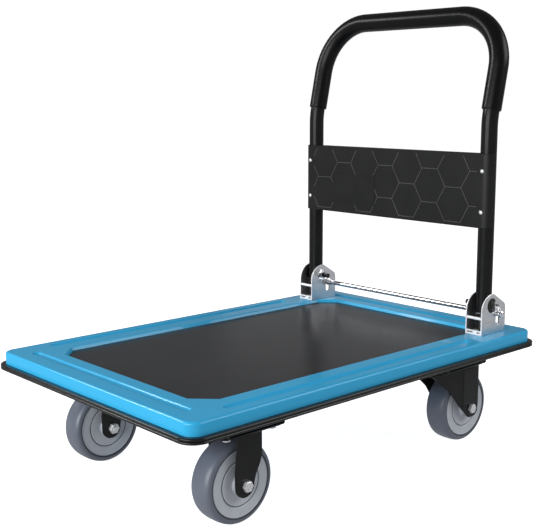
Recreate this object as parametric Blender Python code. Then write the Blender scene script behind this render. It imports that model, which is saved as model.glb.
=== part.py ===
"""Folding platform cart: a pressed steel deck on two fixed and two swivel casters, with a folding handle.

Metres, +Z up. X is the width, -Y the front edge and +Y the handle end. The origin is on the floor under
the middle of the deck.
"""

import math

import bmesh
import bpy
from mathutils import Matrix, Vector

# Deck
DECK_TOP = 0.226
PAN_HALF = (0.290, 0.440)
PAN_CORNER = 0.022
PAN_EDGE = 0.005
PAN_SHEET = 0.0025
PAN_SKIRT = 0.029
RECESS_HALF = (0.221, 0.365)
RECESS_CUT = 0.036
RECESS_DEPTH = 0.0085
RECESS_SLOPE = 0.003
MAT_THICKNESS = 0.0023
GROOVE_WIDTH = 0.016
GROOVE_FLOOR = 0.008
GROOVE_DEPTH = 0.003
END_GROOVE_Y = 0.400
END_GROOVE_HALF = 0.235
SIDE_GROOVE_X = 0.260
SIDE_GROOVE_Y = (-0.352, 0.240)
BUMPER_REACH = 0.010
GAP = 0.0003

# Casters
WHEEL_RADIUS = 0.0715
TYRE_HALF = 0.0237
HUB_RADIUS = 0.0585
HUB_BORE = 0.01035
CASTER_X = 0.195
FRONT_AXLE_Y = -0.284
REAR_AXLE_Y = 0.318
FRONT_PLATE_Y = -0.279
SWIVEL_Y = 0.274
PLATE_TOP = 0.168
PLATE_SHEET = 0.004
PLATE_HALF = (0.0525, 0.0625)
FORK_SHEET = 0.004
FORK_INSIDE = 0.0335
EYE_RADIUS = 0.020
FORK_TOP = 0.158
AXLE_RADIUS = 0.006
CHANNEL_HALF_X = 0.255
CHANNEL_HALF_Y = 0.060
CHANNEL_FLANGE = 0.015
CHANNEL_SHEET = 0.0025

# Handle and its hinge
HANDLE_X = 0.2375
PIVOT_Y = 0.343
PIVOT_Z = DECK_TOP + 0.058
TUBE_RADIUS = 0.016
TUBE_WALL = 0.002
TUBE_FOOT = 0.0156
BEND_START = DECK_TOP + 0.408
BEND_RADIUS = 0.155
BEND_ANGLE = math.radians(12.5)
CORNER_RADIUS = 0.107
TOP_Z = DECK_TOP + 0.628
GRIP_RADIUS = 0.0193
GRIP_START = DECK_TOP + 0.4425
PANEL_Z = (DECK_TOP + 0.2125, DECK_TOP + 0.3588)
PANEL_REACH = 0.0193
PANEL_BACK = 0.011
PANEL_FRONT = 0.0033
PANEL_RIB = 0.0024
PANEL_COLUMNS = 6
PANEL_ROWS = 4
SCREW_Z = (DECK_TOP + 0.2439, DECK_TOP + 0.3246)
BRACKET_X = (0.218, 0.258)
BRACKET_Y = (0.311, 0.3895)
BRACKET_TOP = 0.081
BRACKET_SHEET = 0.0032
LIP_TOP = 0.0096
BUSH_RADIUS = 0.0145
PIVOT_RADIUS = 0.005
ROD_Y = 0.363
ROD_Z = DECK_TOP + 0.0385
ROD_RADIUS = 0.005
ROD_HALF = 0.272
ROD_TRAVEL = 0.015
SPRING_RADIUS = 0.0037
LUG_Y = 0.3545
LUG_Z = PIVOT_Z

CORNER_STEPS = 5
TUBE_STEPS = 12
WHEEL_STEPS = 28

MATERIALS = {
    "blue_paint": ((0.035, 0.36, 0.70), 0.25, 0.0),
    "mat": ((0.045, 0.045, 0.045), 0.65, 0.0),
    "bumper": ((0.010, 0.010, 0.010), 0.35, 0.0),
    "black_steel": ((0.012, 0.012, 0.012), 0.35, 0.0),
    "chrome": ((0.80, 0.80, 0.82), 0.12, 1.0),
    "zinc": ((0.72, 0.72, 0.72), 0.3, 1.0),
    "tube_gloss": ((0.010, 0.010, 0.010), 0.15, 0.0),
    "grip": ((0.013, 0.013, 0.013), 0.5, 0.0),
    "panel": ((0.014, 0.014, 0.014), 0.45, 0.0),
    "nylon": ((0.010, 0.010, 0.010), 0.4, 0.0),
    "tyre": ((0.12, 0.13, 0.16), 0.45, 0.0),
    "hub": ((0.36, 0.38, 0.41), 0.4, 0.0),
}


def clear_scene():
    for obj in list(bpy.data.objects):
        bpy.data.objects.remove(obj, do_unlink=True)


def material(name):
    found = bpy.data.materials.get(name)
    if found:
        return found
    color, roughness, metallic = MATERIALS[name]
    made = bpy.data.materials.new(name)
    made.use_nodes = True
    shader = made.node_tree.nodes["Principled BSDF"]
    shader.inputs["Base Color"].default_value = (*color, 1)
    shader.inputs["Roughness"].default_value = roughness
    shader.inputs["Metallic"].default_value = metallic
    return made


def axis_empty(name, location, parent=None):
    """An empty on a joint's axis. The pieces that the joint moves are its children."""
    empty = bpy.data.objects.new(name, None)
    bpy.context.scene.collection.objects.link(empty)
    empty.location = location
    if parent:
        empty.parent = parent
        empty.location = Vector(location) - parent.location
    return empty


def world_place(empty):
    place = Vector(empty.location)
    while empty.parent:
        empty = empty.parent
        place += empty.location
    return place


def add(name, bm, slot, on=None):
    """The object of a finished bmesh, given in world coordinates, on the empty of the body it belongs to."""
    bmesh.ops.recalc_face_normals(bm, faces=bm.faces)
    mesh = bpy.data.meshes.new(name)
    bm.to_mesh(mesh)
    bm.free()
    mesh.materials.append(material(slot))
    mesh.shade_smooth()
    mesh.set_sharp_from_angle(angle=math.radians(35))
    obj = bpy.data.objects.new(name, mesh)
    bpy.context.scene.collection.objects.link(obj)
    if on:
        mesh.transform(Matrix.Translation(-world_place(on)))
        obj.parent = on
    return obj


def helper(name, *meshes):
    """A cutter or a join piece, made of one or more closed meshes and left out of the model."""
    joined = bmesh.new()
    for bm in meshes:
        bmesh.ops.recalc_face_normals(bm, faces=bm.faces)
        temporary = bpy.data.meshes.new(name)
        bm.to_mesh(temporary)
        bm.free()
        joined.from_mesh(temporary)
        bpy.data.meshes.remove(temporary)
    mesh = bpy.data.meshes.new(name)
    joined.to_mesh(mesh)
    joined.free()
    obj = bpy.data.objects.new(name, mesh)
    bpy.context.scene.collection.objects.link(obj)
    obj.hide_render = True
    obj.display_type = "WIRE"
    return obj


def combine(obj, other, operation):
    modifier = obj.modifiers.new(other.name, "BOOLEAN")
    modifier.operation = operation
    modifier.solver = "EXACT"
    modifier.object = other
    return obj


def cut(obj, *meshes):
    return combine(obj, helper(f"{obj.name}_cutter_{len(obj.modifiers)}", *meshes), "DIFFERENCE")


def join(obj, *meshes):
    for bm in meshes:
        combine(obj, helper(f"{obj.name}_join_{len(obj.modifiers)}", bm), "UNION")
    return obj


def skin(loops, closed=False):
    """A closed mesh through loops of equal length. It is capped at both ends, or closed into a ring."""
    bm = bmesh.new()
    rows = [[bm.verts.new(point) for point in loop] for loop in loops]
    pairs = list(zip(rows[:-1], rows[1:]))
    if closed:
        pairs.append((rows[-1], rows[0]))
    else:
        bm.faces.new(rows[0])
        bm.faces.new(rows[-1])
    for first, second in pairs:
        for i in range(len(first)):
            j = (i + 1) % len(first)
            bm.faces.new((first[i], first[j], second[j], second[i]))
    return bm


def corner_loop(half, corner, z, straight=False):
    """A rectangle about the Z axis whose corners are arcs, or straight cuts with as many points."""
    points = []
    for turn in range(4):
        sign_x, sign_y = ((1, 1), (-1, 1), (-1, -1), (1, -1))[turn]
        centre = Vector((sign_x * (half[0] - corner), sign_y * (half[1] - corner)))
        start = turn * math.pi / 2
        for step in range(CORNER_STEPS + 1):
            part = step / CORNER_STEPS
            if straight:
                first = Vector((math.cos(start), math.sin(start)))
                last = Vector((-math.sin(start), math.cos(start)))
                offset = corner * first.lerp(last, part)
            else:
                angle = start + part * math.pi / 2
                offset = corner * Vector((math.cos(angle), math.sin(angle)))
            points.append((*(centre + offset), z))
    return points


def prism(outline, axis, low, high):
    """An outline in the two other axes, in X, Y, Z order, drawn out along axis."""
    def at(point, along):
        a, b = point
        return {"X": (along, a, b), "Y": (a, along, b), "Z": (a, b, along)}[axis]

    return skin([[at(point, low) for point in outline], [at(point, high) for point in outline]])


def box(low, high):
    outline = [(low[0], low[1]), (high[0], low[1]), (high[0], high[1]), (low[0], high[1])]
    return prism(outline, "Z", low[2], high[2])


def arc(centre, radius, first, last, steps):
    """Points from the angle first to the angle last, in degrees."""
    points = []
    for step in range(steps + 1):
        angle = math.radians(first + (last - first) * step / steps)
        points.append((centre[0] + radius * math.cos(angle), centre[1] + radius * math.sin(angle)))
    return points


def stadium(first, last, radius, steps=6):
    """A slot's outline between two centres."""
    heading = math.degrees(math.atan2(last[1] - first[1], last[0] - first[0]))
    return arc(first, radius, heading + 90, heading + 270, steps) + arc(
        last, radius, heading - 90, heading + 90, steps
    )


def polygon(centre, radius, sides, turn=0.0):
    return arc(centre, radius, turn, turn + 360 - 360 / sides, sides - 1)


def round_bar(axis, centre, radius, low, high, sides=12):
    return prism(polygon(centre, radius, sides), axis, low, high)


def turned(profile, centre, steps, axis="X"):
    """A profile of (radius, along) turned about a line through centre. A radius of 0 is a point on it."""
    bm = bmesh.new()
    rows = []
    for radius, along in profile:
        count = steps if radius else 1
        row = []
        for step in range(count):
            angle = 2 * math.pi * step / steps
            a, b = radius * math.cos(angle), radius * math.sin(angle)
            offset = (along, a, b) if axis == "X" else (a, b, along)
            row.append(bm.verts.new(Vector(centre) + Vector(offset)))
        rows.append(row)
    pairs = list(zip(rows[:-1], rows[1:]))
    if len(rows[0]) > 1:
        pairs.append((rows[-1], rows[0]))
    for first, second in pairs:
        for i in range(steps):
            j = (i + 1) % steps
            if len(first) == 1 and len(second) == 1:
                continue
            if len(first) == 1:
                bm.faces.new((first[0], second[j], second[i]))
            elif len(second) == 1:
                bm.faces.new((first[i], first[j], second[0]))
            else:
                bm.faces.new((first[i], first[j], second[j], second[i]))
    return bm


def hollow_sweep(path, outer, inner, steps):
    """A pipe with open ends along a path."""
    path = [Vector(point) for point in path]
    count = len(path)
    tangents = [(path[min(i + 1, count - 1)] - path[max(i - 1, 0)]).normalized() for i in range(count)]
    side = Vector((1, 0, 0))
    rings = {outer: [], inner: []}
    for i, tangent in enumerate(tangents):
        if i:
            side = tangents[i - 1].rotation_difference(tangent) @ side
        up = tangent.cross(side).normalized()
        for radius, made in rings.items():
            ring = []
            for step in range(steps):
                angle = 2 * math.pi * (step + 0.5) / steps
                ring.append(path[i] + radius * (math.cos(angle) * side + math.sin(angle) * up))
            made.append(ring)
    return skin(rings[outer] + rings[inner][::-1], closed=True)


def deck_height(below):
    """The height of a point this far below the deck's top."""
    return DECK_TOP - below


def make_pan():
    hx, hy = PAN_HALF
    rx, ry = RECESS_HALF
    sheet = PAN_SHEET

    def recess(grow, cut_grow, below):
        half = (rx + grow, ry + grow)
        return corner_loop(half, RECESS_CUT + cut_grow, deck_height(below), straight=True)

    loops = [recess(-RECESS_SLOPE, -0.0015, RECESS_DEPTH), recess(0, 0, 0)]
    for step in range(4):
        angle = math.radians(30 * step)
        inset = PAN_EDGE * (1 - math.sin(angle))
        drop = PAN_EDGE * (1 - math.cos(angle))
        loops.append(corner_loop((hx - inset, hy - inset), PAN_CORNER - inset, deck_height(drop)))
    loops.append(corner_loop((hx, hy), PAN_CORNER, deck_height(PAN_SKIRT)))
    inside = (hx - sheet, hy - sheet)
    loops.append(corner_loop(inside, PAN_CORNER - sheet, deck_height(PAN_SKIRT)))
    loops.append(corner_loop(inside, PAN_CORNER - sheet, deck_height(PAN_EDGE)))
    inset = (hx - PAN_EDGE, hy - PAN_EDGE)
    loops.append(corner_loop(inset, PAN_CORNER - PAN_EDGE, deck_height(sheet)))
    loops.append(recess(sheet, 0.001, sheet))
    loops.append(recess(sheet - RECESS_SLOPE, -0.0005, RECESS_DEPTH + sheet))
    pan = add("deck_pan", skin(loops), "blue_paint")
    join(pan, *[groove_trough(ends) for ends in groove_ends()])
    cut(pan, *[groove_cutter(ends) for ends in groove_ends()])
    bolts = [round_bar("Z", spot, 0.0043, deck_height(0.01), deck_height(-0.01), 12) for spot in bracket_bolts()]
    cut(pan, *bolts)


def groove_ends():
    """The centres of the round ends of each pressed groove in the rim."""
    reach = END_GROOVE_HALF - GROOVE_WIDTH / 2
    ends = [((-reach, y), (reach, y)) for y in (-END_GROOVE_Y, END_GROOVE_Y)]
    low, high = SIDE_GROOVE_Y
    radius = GROOVE_WIDTH / 2
    return ends + [((x, low + radius), (x, high - radius)) for x in (-SIDE_GROOVE_X, SIDE_GROOVE_X)]


def groove_trough(ends):
    outline = stadium(*ends, GROOVE_WIDTH / 2)
    return prism(outline, "Z", deck_height(GROOVE_DEPTH + PAN_SHEET - 0.0005), deck_height(0.001))


def groove_cutter(ends):
    above = 0.001
    slope = (GROOVE_WIDTH - GROOVE_FLOOR) / 2 / GROOVE_DEPTH
    wide = stadium(*ends, GROOVE_WIDTH / 2 + slope * above)
    narrow = stadium(*ends, GROOVE_FLOOR / 2)
    return skin(
        [
            [(x, y, deck_height(-above)) for x, y in wide],
            [(x, y, deck_height(GROOVE_DEPTH)) for x, y in narrow],
        ]
    )


def make_mat():
    half = (RECESS_HALF[0] - RECESS_SLOPE - 0.0005, RECESS_HALF[1] - RECESS_SLOPE - 0.0005)
    bottom = deck_height(RECESS_DEPTH - GAP)
    loops = [
        corner_loop(half, RECESS_CUT - 0.0015, bottom, straight=True),
        corner_loop(half, RECESS_CUT - 0.0015, bottom + MAT_THICKNESS, straight=True),
    ]
    add("deck_mat", skin(loops), "mat")


def make_bumper():
    """A rubber channel pushed up over the skirt. Each pair is (distance out from the skirt, depth)."""
    reach = BUMPER_REACH
    groove_in = -PAN_SHEET - GAP
    section = [
        (GAP, 0.0215),
        (0.006, 0.0215),
        (reach - 0.001, 0.0230),
        (reach, 0.0255),
        (reach, 0.0295),
        (reach - 0.0015, 0.0320),
        (-0.0045, 0.0320),
        (-0.0058, 0.0308),
        (-0.0058, 0.0250),
        (groove_in, 0.0250),
        (groove_in, PAN_SKIRT + GAP),
        (GAP, PAN_SKIRT + GAP),
    ]
    loops = []
    for out, below in section:
        half = (PAN_HALF[0] + out, PAN_HALF[1] + out)
        loops.append(corner_loop(half, PAN_CORNER + out, deck_height(below)))
    add("edge_bumper", skin(loops, closed=True), "bumper")


def make_cross_member(name, centre_y):
    """A hat channel under the pan. The casters bolt to its flat bottom."""
    top = deck_height(RECESS_DEPTH + PAN_SHEET + GAP)
    bottom = PLATE_TOP + GAP
    sheet = CHANNEL_SHEET
    wall = CHANNEL_HALF_Y
    flange = wall + CHANNEL_FLANGE
    half_outline = [
        (flange, top),
        (flange, top - sheet),
        (wall, top - sheet),
        (wall, bottom),
    ]
    inner = [(wall - sheet, bottom + sheet), (wall - sheet, top)]
    outline = half_outline + [(-y, z) for y, z in reversed(half_outline)]
    outline += [(-y, z) for y, z in reversed(inner)] + inner
    outline = [(centre_y + y, z) for y, z in outline]
    add(name, prism(outline, "X", -CHANNEL_HALF_X, CHANNEL_HALF_X), "black_steel")


def bracket_bolts():
    return [(side * HANDLE_X, y) for side in (-1, 1) for y in (0.3215, 0.3775)]


def bracket_outline():
    low, high = BRACKET_Y
    base = DECK_TOP + GAP
    shoulder = DECK_TOP + 0.048
    front = []
    for step in range(9):
        angle = math.radians(90 * step / 8)
        y = low + 0.035 * (1 - math.cos(angle))
        front.append((y, shoulder + (BRACKET_TOP - 0.048) * math.sin(angle)))
    back = [
        (0.3535, DECK_TOP + BRACKET_TOP - 0.0015),
        (0.3840, DECK_TOP + 0.0590),
        (0.3880, DECK_TOP + 0.0545),
        (high, DECK_TOP + 0.0490),
        (high, DECK_TOP + 0.0120),
        (high - 0.0025, base),
    ]
    return [(low, base)] + front + back


def ordered(a, b):
    return min(a, b), max(a, b)


def make_bracket(name, side):
    low_x, high_x = ordered(side * BRACKET_X[0], side * BRACKET_X[1])
    bracket = add(name, prism(bracket_outline(), "X", low_x, high_x), "chrome")
    sheet = BRACKET_SHEET
    inside = (low_x + sheet, high_x - sheet)
    floor = DECK_TOP + GAP + sheet
    lip = BRACKET_Y[0] + sheet
    tall = DECK_TOP + 0.1
    hollow = [
        (lip, floor),
        (BRACKET_Y[1] + 0.01, floor),
        (BRACKET_Y[1] + 0.01, tall),
        (BRACKET_Y[0] - 0.01, tall),
        (BRACKET_Y[0] - 0.01, DECK_TOP + LIP_TOP),
        (lip, DECK_TOP + LIP_TOP),
    ]
    cut(bracket, prism(hollow, "X", *inside))
    bar = round_bar("X", (0.3145, DECK_TOP + 0.034), 0.003, low_x + 0.001, high_x - 0.001, 10)
    join(bracket, bar)
    cut(bracket, *bracket_holes(side))
    join(bracket, spring_lug(side))


def bracket_holes(side):
    inner, outer = BRACKET_X
    through = ordered(side * (inner - 0.01), side * (outer + 0.01))
    outer_only = ordered(side * (outer - 0.01), side * (outer + 0.01))
    slot_ends = ((ROD_Y, ROD_Z - ROD_TRAVEL - 0.0008), (ROD_Y, ROD_Z + 0.0006))
    holes = [
        round_bar("X", (PIVOT_Y, PIVOT_Z), PIVOT_RADIUS + 0.0003, *ordered(side * (inner - 0.01), side * 0.24)),
        prism(bush_outline(GAP), "X", *outer_only),
        prism(stadium(*slot_ends, ROD_RADIUS + 0.0005), "X", *through),
    ]
    for x, y in bracket_bolts():
        if x * side > 0:
            holes.append(round_bar("Z", (x, y), 0.0043, DECK_TOP - 0.01, DECK_TOP + 0.02, 12))
    return holes


def bush_outline(grow):
    """A disc with a notch behind. The plate's tab fills the notch, so the bush can't turn."""
    turn = 40 - math.degrees(grow / BUSH_RADIUS) * 2
    rim = arc((PIVOT_Y, PIVOT_Z), BUSH_RADIUS + grow, turn, 360 - turn, 16)
    return rim + [(PIVOT_Y + 0.0070 + 1.5 * grow, PIVOT_Z)]


def spring_lug(side):
    """The lug on the plate's tab that the spring hangs from."""
    x = ordered(side * (BRACKET_X[1] - 0.001), side * (BRACKET_X[1] + 0.009))
    return box((x[0], LUG_Y - 0.0012, LUG_Z - 0.002), (x[1], LUG_Y + 0.0012, LUG_Z + 0.002))


def make_bracket_bolt(name, spot):
    """A hexagon head on the bracket's floor and a shank down through the rim."""
    under_head = DECK_TOP + 2 * GAP + BRACKET_SHEET
    head = prism(polygon(spot, 0.0066, 6), "Z", under_head, under_head + 0.0052)
    bolt = add(name, head, "zinc")
    join(bolt, round_bar("Z", spot, 0.004, deck_height(0.0095), under_head + 0.002, 12))


def make_pivot(side, word):
    """The pivot bolt, its nut on the inner plate and the bush in the outer plate."""
    centre = (0, PIVOT_Y, PIVOT_Z)
    inner, outer = BRACKET_X
    head_in = outer + 0.0012
    bolt = [
        (0, side * (inner - 0.0100)),
        (PIVOT_RADIUS, side * (inner - 0.0100)),
        (PIVOT_RADIUS, side * head_in),
        (0.0085, side * head_in),
        (0.0075, side * (head_in + 0.0024)),
        (0, side * (head_in + 0.0032)),
    ]
    add(f"{word}_pivot_bolt", turned(bolt, centre, 20), "nylon")
    nut_x = ordered(side * (inner - 0.0078), side * (inner - GAP))
    nut = add(f"{word}_pivot_nut", prism(polygon((PIVOT_Y, PIVOT_Z), 0.0098, 6, 30), "X", *nut_x), "zinc")
    cut(nut, round_bar("X", (PIVOT_Y, PIVOT_Z), PIVOT_RADIUS + GAP, nut_x[0] - 0.01, nut_x[1] + 0.01, 20))
    low, high = side * (HANDLE_X + TUBE_RADIUS + 0.0005), side * (outer + 0.0008)
    bush = add(f"{word}_pivot_bush", prism(bush_outline(0), "X", *ordered(low, high)), "nylon")
    bore = round_bar("X", (PIVOT_Y, PIVOT_Z), PIVOT_RADIUS + GAP, *ordered(low - side * 0.01, high + side * 0.01), 20)
    cut(bush, bore)


def make_foot_seat(side, word):
    """The block under the tube's foot, hollowed where the foot swings past."""
    spot = (side * HANDLE_X, PIVOT_Y)
    seat_radius = 0.014
    seat = round_bar("Z", spot, seat_radius, DECK_TOP + 2 * GAP + BRACKET_SHEET, PIVOT_Z - 0.012, 20)
    seat = add(f"{word}_foot_seat", seat, "nylon")
    sweep = math.hypot(TUBE_RADIUS, TUBE_FOOT) + 0.0006
    through = ordered(side * (HANDLE_X - 0.02), side * (HANDLE_X + 0.02))
    cut(seat, round_bar("X", (PIVOT_Y, PIVOT_Z), sweep, *through, 40))


def make_lock_rod(on):
    """The round rod through both brackets, with a head at each end."""
    centre = (0, ROD_Y, ROD_Z)
    head = ROD_HALF - 0.0035
    rod = [(0, -ROD_HALF), (0.0070, -ROD_HALF), (0.0070, -head), (ROD_RADIUS, -head)]
    rod += [(radius, -along) for radius, along in reversed(rod)]
    add("lock_rod", turned(rod, centre, 16), "chrome", on)
    bore = ROD_RADIUS + GAP
    for side, word in ((-1, "left"), (1, "right")):
        low, high = side * (BRACKET_X[0] - 0.0135), side * (BRACKET_X[0] - 0.0015)
        collar = [(bore, low), (0.0070, low), (0.0080, low + side * 0.001), (0.0080, high), (bore, high)]
        add(f"{word}_rod_collar", turned(collar, centre, 16), "chrome", on)


def make_spring(side, word):
    """The outer shape of the coil spring from the lug down to the rod."""
    x = side * (BRACKET_X[1] + 0.0062)
    top = Vector((x, LUG_Y, LUG_Z - 0.002))
    rod = Vector((x, ROD_Y, ROD_Z))
    heading = (rod - top).normalized()
    first = top + heading * 0.0030
    last = rod - heading * (ROD_RADIUS + 0.0005)
    length = (last - first).length
    profile = [(0, 0), (SPRING_RADIUS, 0), (SPRING_RADIUS, length), (0, length)]
    bm = turned(profile, (0, 0, 0), 12, "Z")
    turn = Vector((0, 0, 1)).rotation_difference(heading).to_matrix().to_4x4()
    bmesh.ops.transform(bm, matrix=Matrix.Translation(first) @ turn, verts=bm.verts)
    add(f"{word}_spring", bm, "zinc")


def handle_path(start, corner_steps=6):
    """The centre line of one leg, from the height start up to the middle of the top bar."""
    lean = Vector((0, math.sin(BEND_ANGLE), math.cos(BEND_ANGLE)))
    points = [Vector((HANDLE_X, PIVOT_Y, start))] if start < BEND_START else []
    bend_steps = 3
    for step in range(bend_steps + 1):
        angle = BEND_ANGLE * step / bend_steps
        y = PIVOT_Y + BEND_RADIUS * (1 - math.cos(angle))
        z = BEND_START + BEND_RADIUS * math.sin(angle)
        if z >= start - 1e-6:
            points.append(Vector((HANDLE_X, y, z)))
    end_of_bend = points[-1]
    rise = (TOP_Z - end_of_bend.z) / lean.z - CORNER_RADIUS
    corner_start = end_of_bend + rise * lean
    for step in range(corner_steps + 1):
        angle = math.pi / 2 * step / corner_steps
        inward = Vector((-CORNER_RADIUS * (1 - math.cos(angle)), 0, 0))
        points.append(corner_start + inward + CORNER_RADIUS * math.sin(angle) * lean)
    return points


def whole_path(start):
    right = handle_path(start)
    left = [Vector((-point.x, point.y, point.z)) for point in reversed(right)]
    return right + left


def grip_path():
    """The part of the handle's centre line above the grip's lower ends."""
    angle = math.asin((GRIP_START - BEND_START) / BEND_RADIUS)
    first = Vector((HANDLE_X, PIVOT_Y + BEND_RADIUS * (1 - math.cos(angle)), GRIP_START))
    right = [first] + [point for point in handle_path(BEND_START) if point.z > GRIP_START]
    return right + [Vector((-point.x, point.y, point.z)) for point in reversed(right)]


def make_handle(on):
    foot = PIVOT_Z - TUBE_FOOT
    tube = hollow_sweep(whole_path(foot), TUBE_RADIUS, TUBE_RADIUS - TUBE_WALL, TUBE_STEPS)
    tube = add("handle_tube", tube, "tube_gloss", on)
    pivot_hole = round_bar("X", (PIVOT_Y, PIVOT_Z), PIVOT_RADIUS + GAP, -0.27, 0.27)
    cut(tube, pivot_hole, *screw_holes(0.003))
    grip = hollow_sweep(grip_path(), GRIP_RADIUS, TUBE_RADIUS + GAP, TUBE_STEPS)
    add("handle_grip", grip, "grip", on)


def screw_spots():
    names = ("lower", "upper")
    return [(f"{w}_{n}", s * HANDLE_X, z) for s, w in ((-1, "left"), (1, "right")) for n, z in zip(names, SCREW_Z)]


def screw_holes(radius):
    front = PIVOT_Y - PANEL_REACH
    return [round_bar("Y", (x, z), radius, front - 0.01, PIVOT_Y - 0.008, 8) for _, x, z in screw_spots()]


def make_panel(on):
    """A front sheet that wraps both tubes from the front, with a grid of ribs behind it."""
    front = PIVOT_Y - PANEL_REACH
    inner = TUBE_RADIUS + GAP
    wall = HANDLE_X - inner
    back = PIVOT_Y + PANEL_BACK
    outline = arc((-HANDLE_X, PIVOT_Y), PANEL_REACH, 180, 270, 6)
    outline += arc((HANDLE_X, PIVOT_Y), PANEL_REACH, 270, 360, 6)
    outline += arc((HANDLE_X, PIVOT_Y), inner, 360, 180, 12)
    outline += [(wall, back), (-wall, back)]
    outline += arc((-HANDLE_X, PIVOT_Y), inner, 360, 180, 12)
    panel = add("handle_panel", prism(outline, "Z", *PANEL_Z), "panel", on)
    half = wall - 0.003
    pitch_x = (2 * half + PANEL_RIB) / PANEL_COLUMNS
    low_z, high_z = PANEL_Z[0] + PANEL_RIB, PANEL_Z[1] - PANEL_RIB
    pitch_z = (high_z - low_z + PANEL_RIB) / PANEL_ROWS
    pockets = []
    for column in range(PANEL_COLUMNS):
        for row in range(PANEL_ROWS):
            x, z = -half + column * pitch_x, low_z + row * pitch_z
            low = (x, front + PANEL_FRONT, z)
            high = (x + pitch_x - PANEL_RIB, back + 0.01, z + pitch_z - PANEL_RIB)
            pockets.append(box(low, high))
    cut(panel, *pockets)
    cut(panel, *screw_holes(0.0025))
    for name, x, z in screw_spots():
        head = front - GAP
        profile = [(0, -0.0022), (0.0030, -0.0020), (0.0045, 0), (0.0020, 0), (0.0020, 0.0110), (0, 0.0110)]
        bm = turned(profile, (0, 0, 0), 12, "Z")
        stand = Matrix.Translation((x, head, z)) @ Matrix.Rotation(-math.pi / 2, 4, "X")
        bmesh.ops.transform(bm, matrix=stand, verts=bm.verts)
        add(f"{name}_screw", bm, "zinc", on)


def fixed_leg(axle_y):
    """The outline of a fixed fork's leg: a straight front edge and a shoulder behind, down to the eye."""
    top = PLATE_TOP - PLATE_SHEET / 2
    eye = arc((axle_y - 0.002, WHEEL_RADIUS), EYE_RADIUS, 180, 360, 8)
    return [(axle_y - 0.0145, top)] + eye + [
        (axle_y + 0.0350, WHEEL_RADIUS + 0.0376),
        (axle_y + 0.0350, top),
    ]


def swivel_leg(axle_y):
    """The outline of a swivel fork's leg: a straight rear edge and a long slope in front."""
    top = FORK_TOP - FORK_SHEET / 2
    eye = arc((axle_y + 0.001, WHEEL_RADIUS), 0.0235, 200, 345, 8)
    return [(axle_y - 0.113, top), (axle_y - 0.061, WHEEL_RADIUS + 0.0446)] + eye + [(axle_y + 0.0245, top)]


def leg_pair(outline, centre_x):
    legs = []
    for side in (-1, 1):
        span = ordered(centre_x + side * FORK_INSIDE, centre_x + side * (FORK_INSIDE + FORK_SHEET))
        legs.append(prism(outline, "X", *span))
    return legs


def make_fixed_fork(name, centre_x, axle_y):
    half_x, half_y = PLATE_HALF
    outline = corner_loop((half_x, half_y), 0.008, 0)
    outline = [(centre_x + x, FRONT_PLATE_Y + y) for x, y, _ in outline]
    fork = add(name, prism(outline, "Z", PLATE_TOP - PLATE_SHEET, PLATE_TOP), "black_steel")
    join(fork, *leg_pair(fixed_leg(axle_y), centre_x))
    cut(fork, axle_bore(centre_x, axle_y))


def axle_bore(centre_x, axle_y):
    return round_bar("X", (axle_y, WHEEL_RADIUS), AXLE_RADIUS + GAP, centre_x - 0.05, centre_x + 0.05)


def make_swivel_mount(word, centre_x):
    """The plate and raceway bolted to the cross member, and the kingpin through them."""
    outline = corner_loop(PLATE_HALF, 0.008, 0)
    outline = [(centre_x + x, SWIVEL_Y + y) for x, y, _ in outline]
    plate = add(f"{word}_top_plate", prism(outline, "Z", PLATE_TOP - PLATE_SHEET, PLATE_TOP), "black_steel")
    race = [(0.010, 0.001), (0.034, 0.001), (0.031, -0.0057), (0.010, -0.0057)]
    join(plate, turned(race, (centre_x, SWIVEL_Y, PLATE_TOP - PLATE_SHEET), 24, "Z"))
    cut(plate, round_bar("Z", (centre_x, SWIVEL_Y), 0.0062, PLATE_TOP - 0.02, PLATE_TOP + 0.01))
    head = FORK_TOP - FORK_SHEET - GAP
    pin = [(0, 0.166), (0.0059, 0.166), (0.0059, head), (0.0110, head), (0.0100, head - 0.0045), (0, head - 0.0045)]
    add(f"{word}_kingpin", turned(pin, (centre_x, SWIVEL_Y, 0), 16, "Z"), "zinc")


def make_swivel_fork(name, centre_x, axle_y, on):
    half_x = FORK_INSIDE + FORK_SHEET
    length = (axle_y + 0.0245 - SWIVEL_Y, axle_y - 0.113 - SWIVEL_Y)
    middle, half_y = SWIVEL_Y + sum(length) / 2, (length[0] - length[1]) / 2
    outline = corner_loop((half_x, half_y), 0.006, 0)
    outline = [(centre_x + x, middle + y) for x, y, _ in outline]
    fork = add(name, prism(outline, "Z", FORK_TOP - FORK_SHEET, FORK_TOP), "black_steel", on)
    join(fork, *leg_pair(swivel_leg(axle_y), centre_x))
    kingpin_hole = round_bar("Z", (centre_x, SWIVEL_Y), 0.0063, FORK_TOP - 0.02, FORK_TOP + 0.01)
    cut(fork, axle_bore(centre_x, axle_y), kingpin_hole)


def make_wheel(word, centre_x, axle_y, on):
    centre = (centre_x, axle_y, WHEEL_RADIUS)
    seat = HUB_RADIUS + GAP
    tread = WHEEL_RADIUS
    half = [(seat, 0.0212), (0.0605, TYRE_HALF), (0.0680, 0.0205), (tread, 0.0090)]
    tyre = half + [(radius, -along) for radius, along in reversed(half)]
    add(f"{word}_tyre", turned(tyre, centre, WHEEL_STEPS), "tyre", on)
    half = [(HUB_BORE, 0.0325), (0.0160, 0.0325), (0.0180, 0.0215), (0.0580, 0.0235), (HUB_RADIUS, 0.0212)]
    hub = half + [(radius, -along) for radius, along in reversed(half)]
    add(f"{word}_hub", turned(hub, centre, WHEEL_STEPS), "hub", on)


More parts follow.
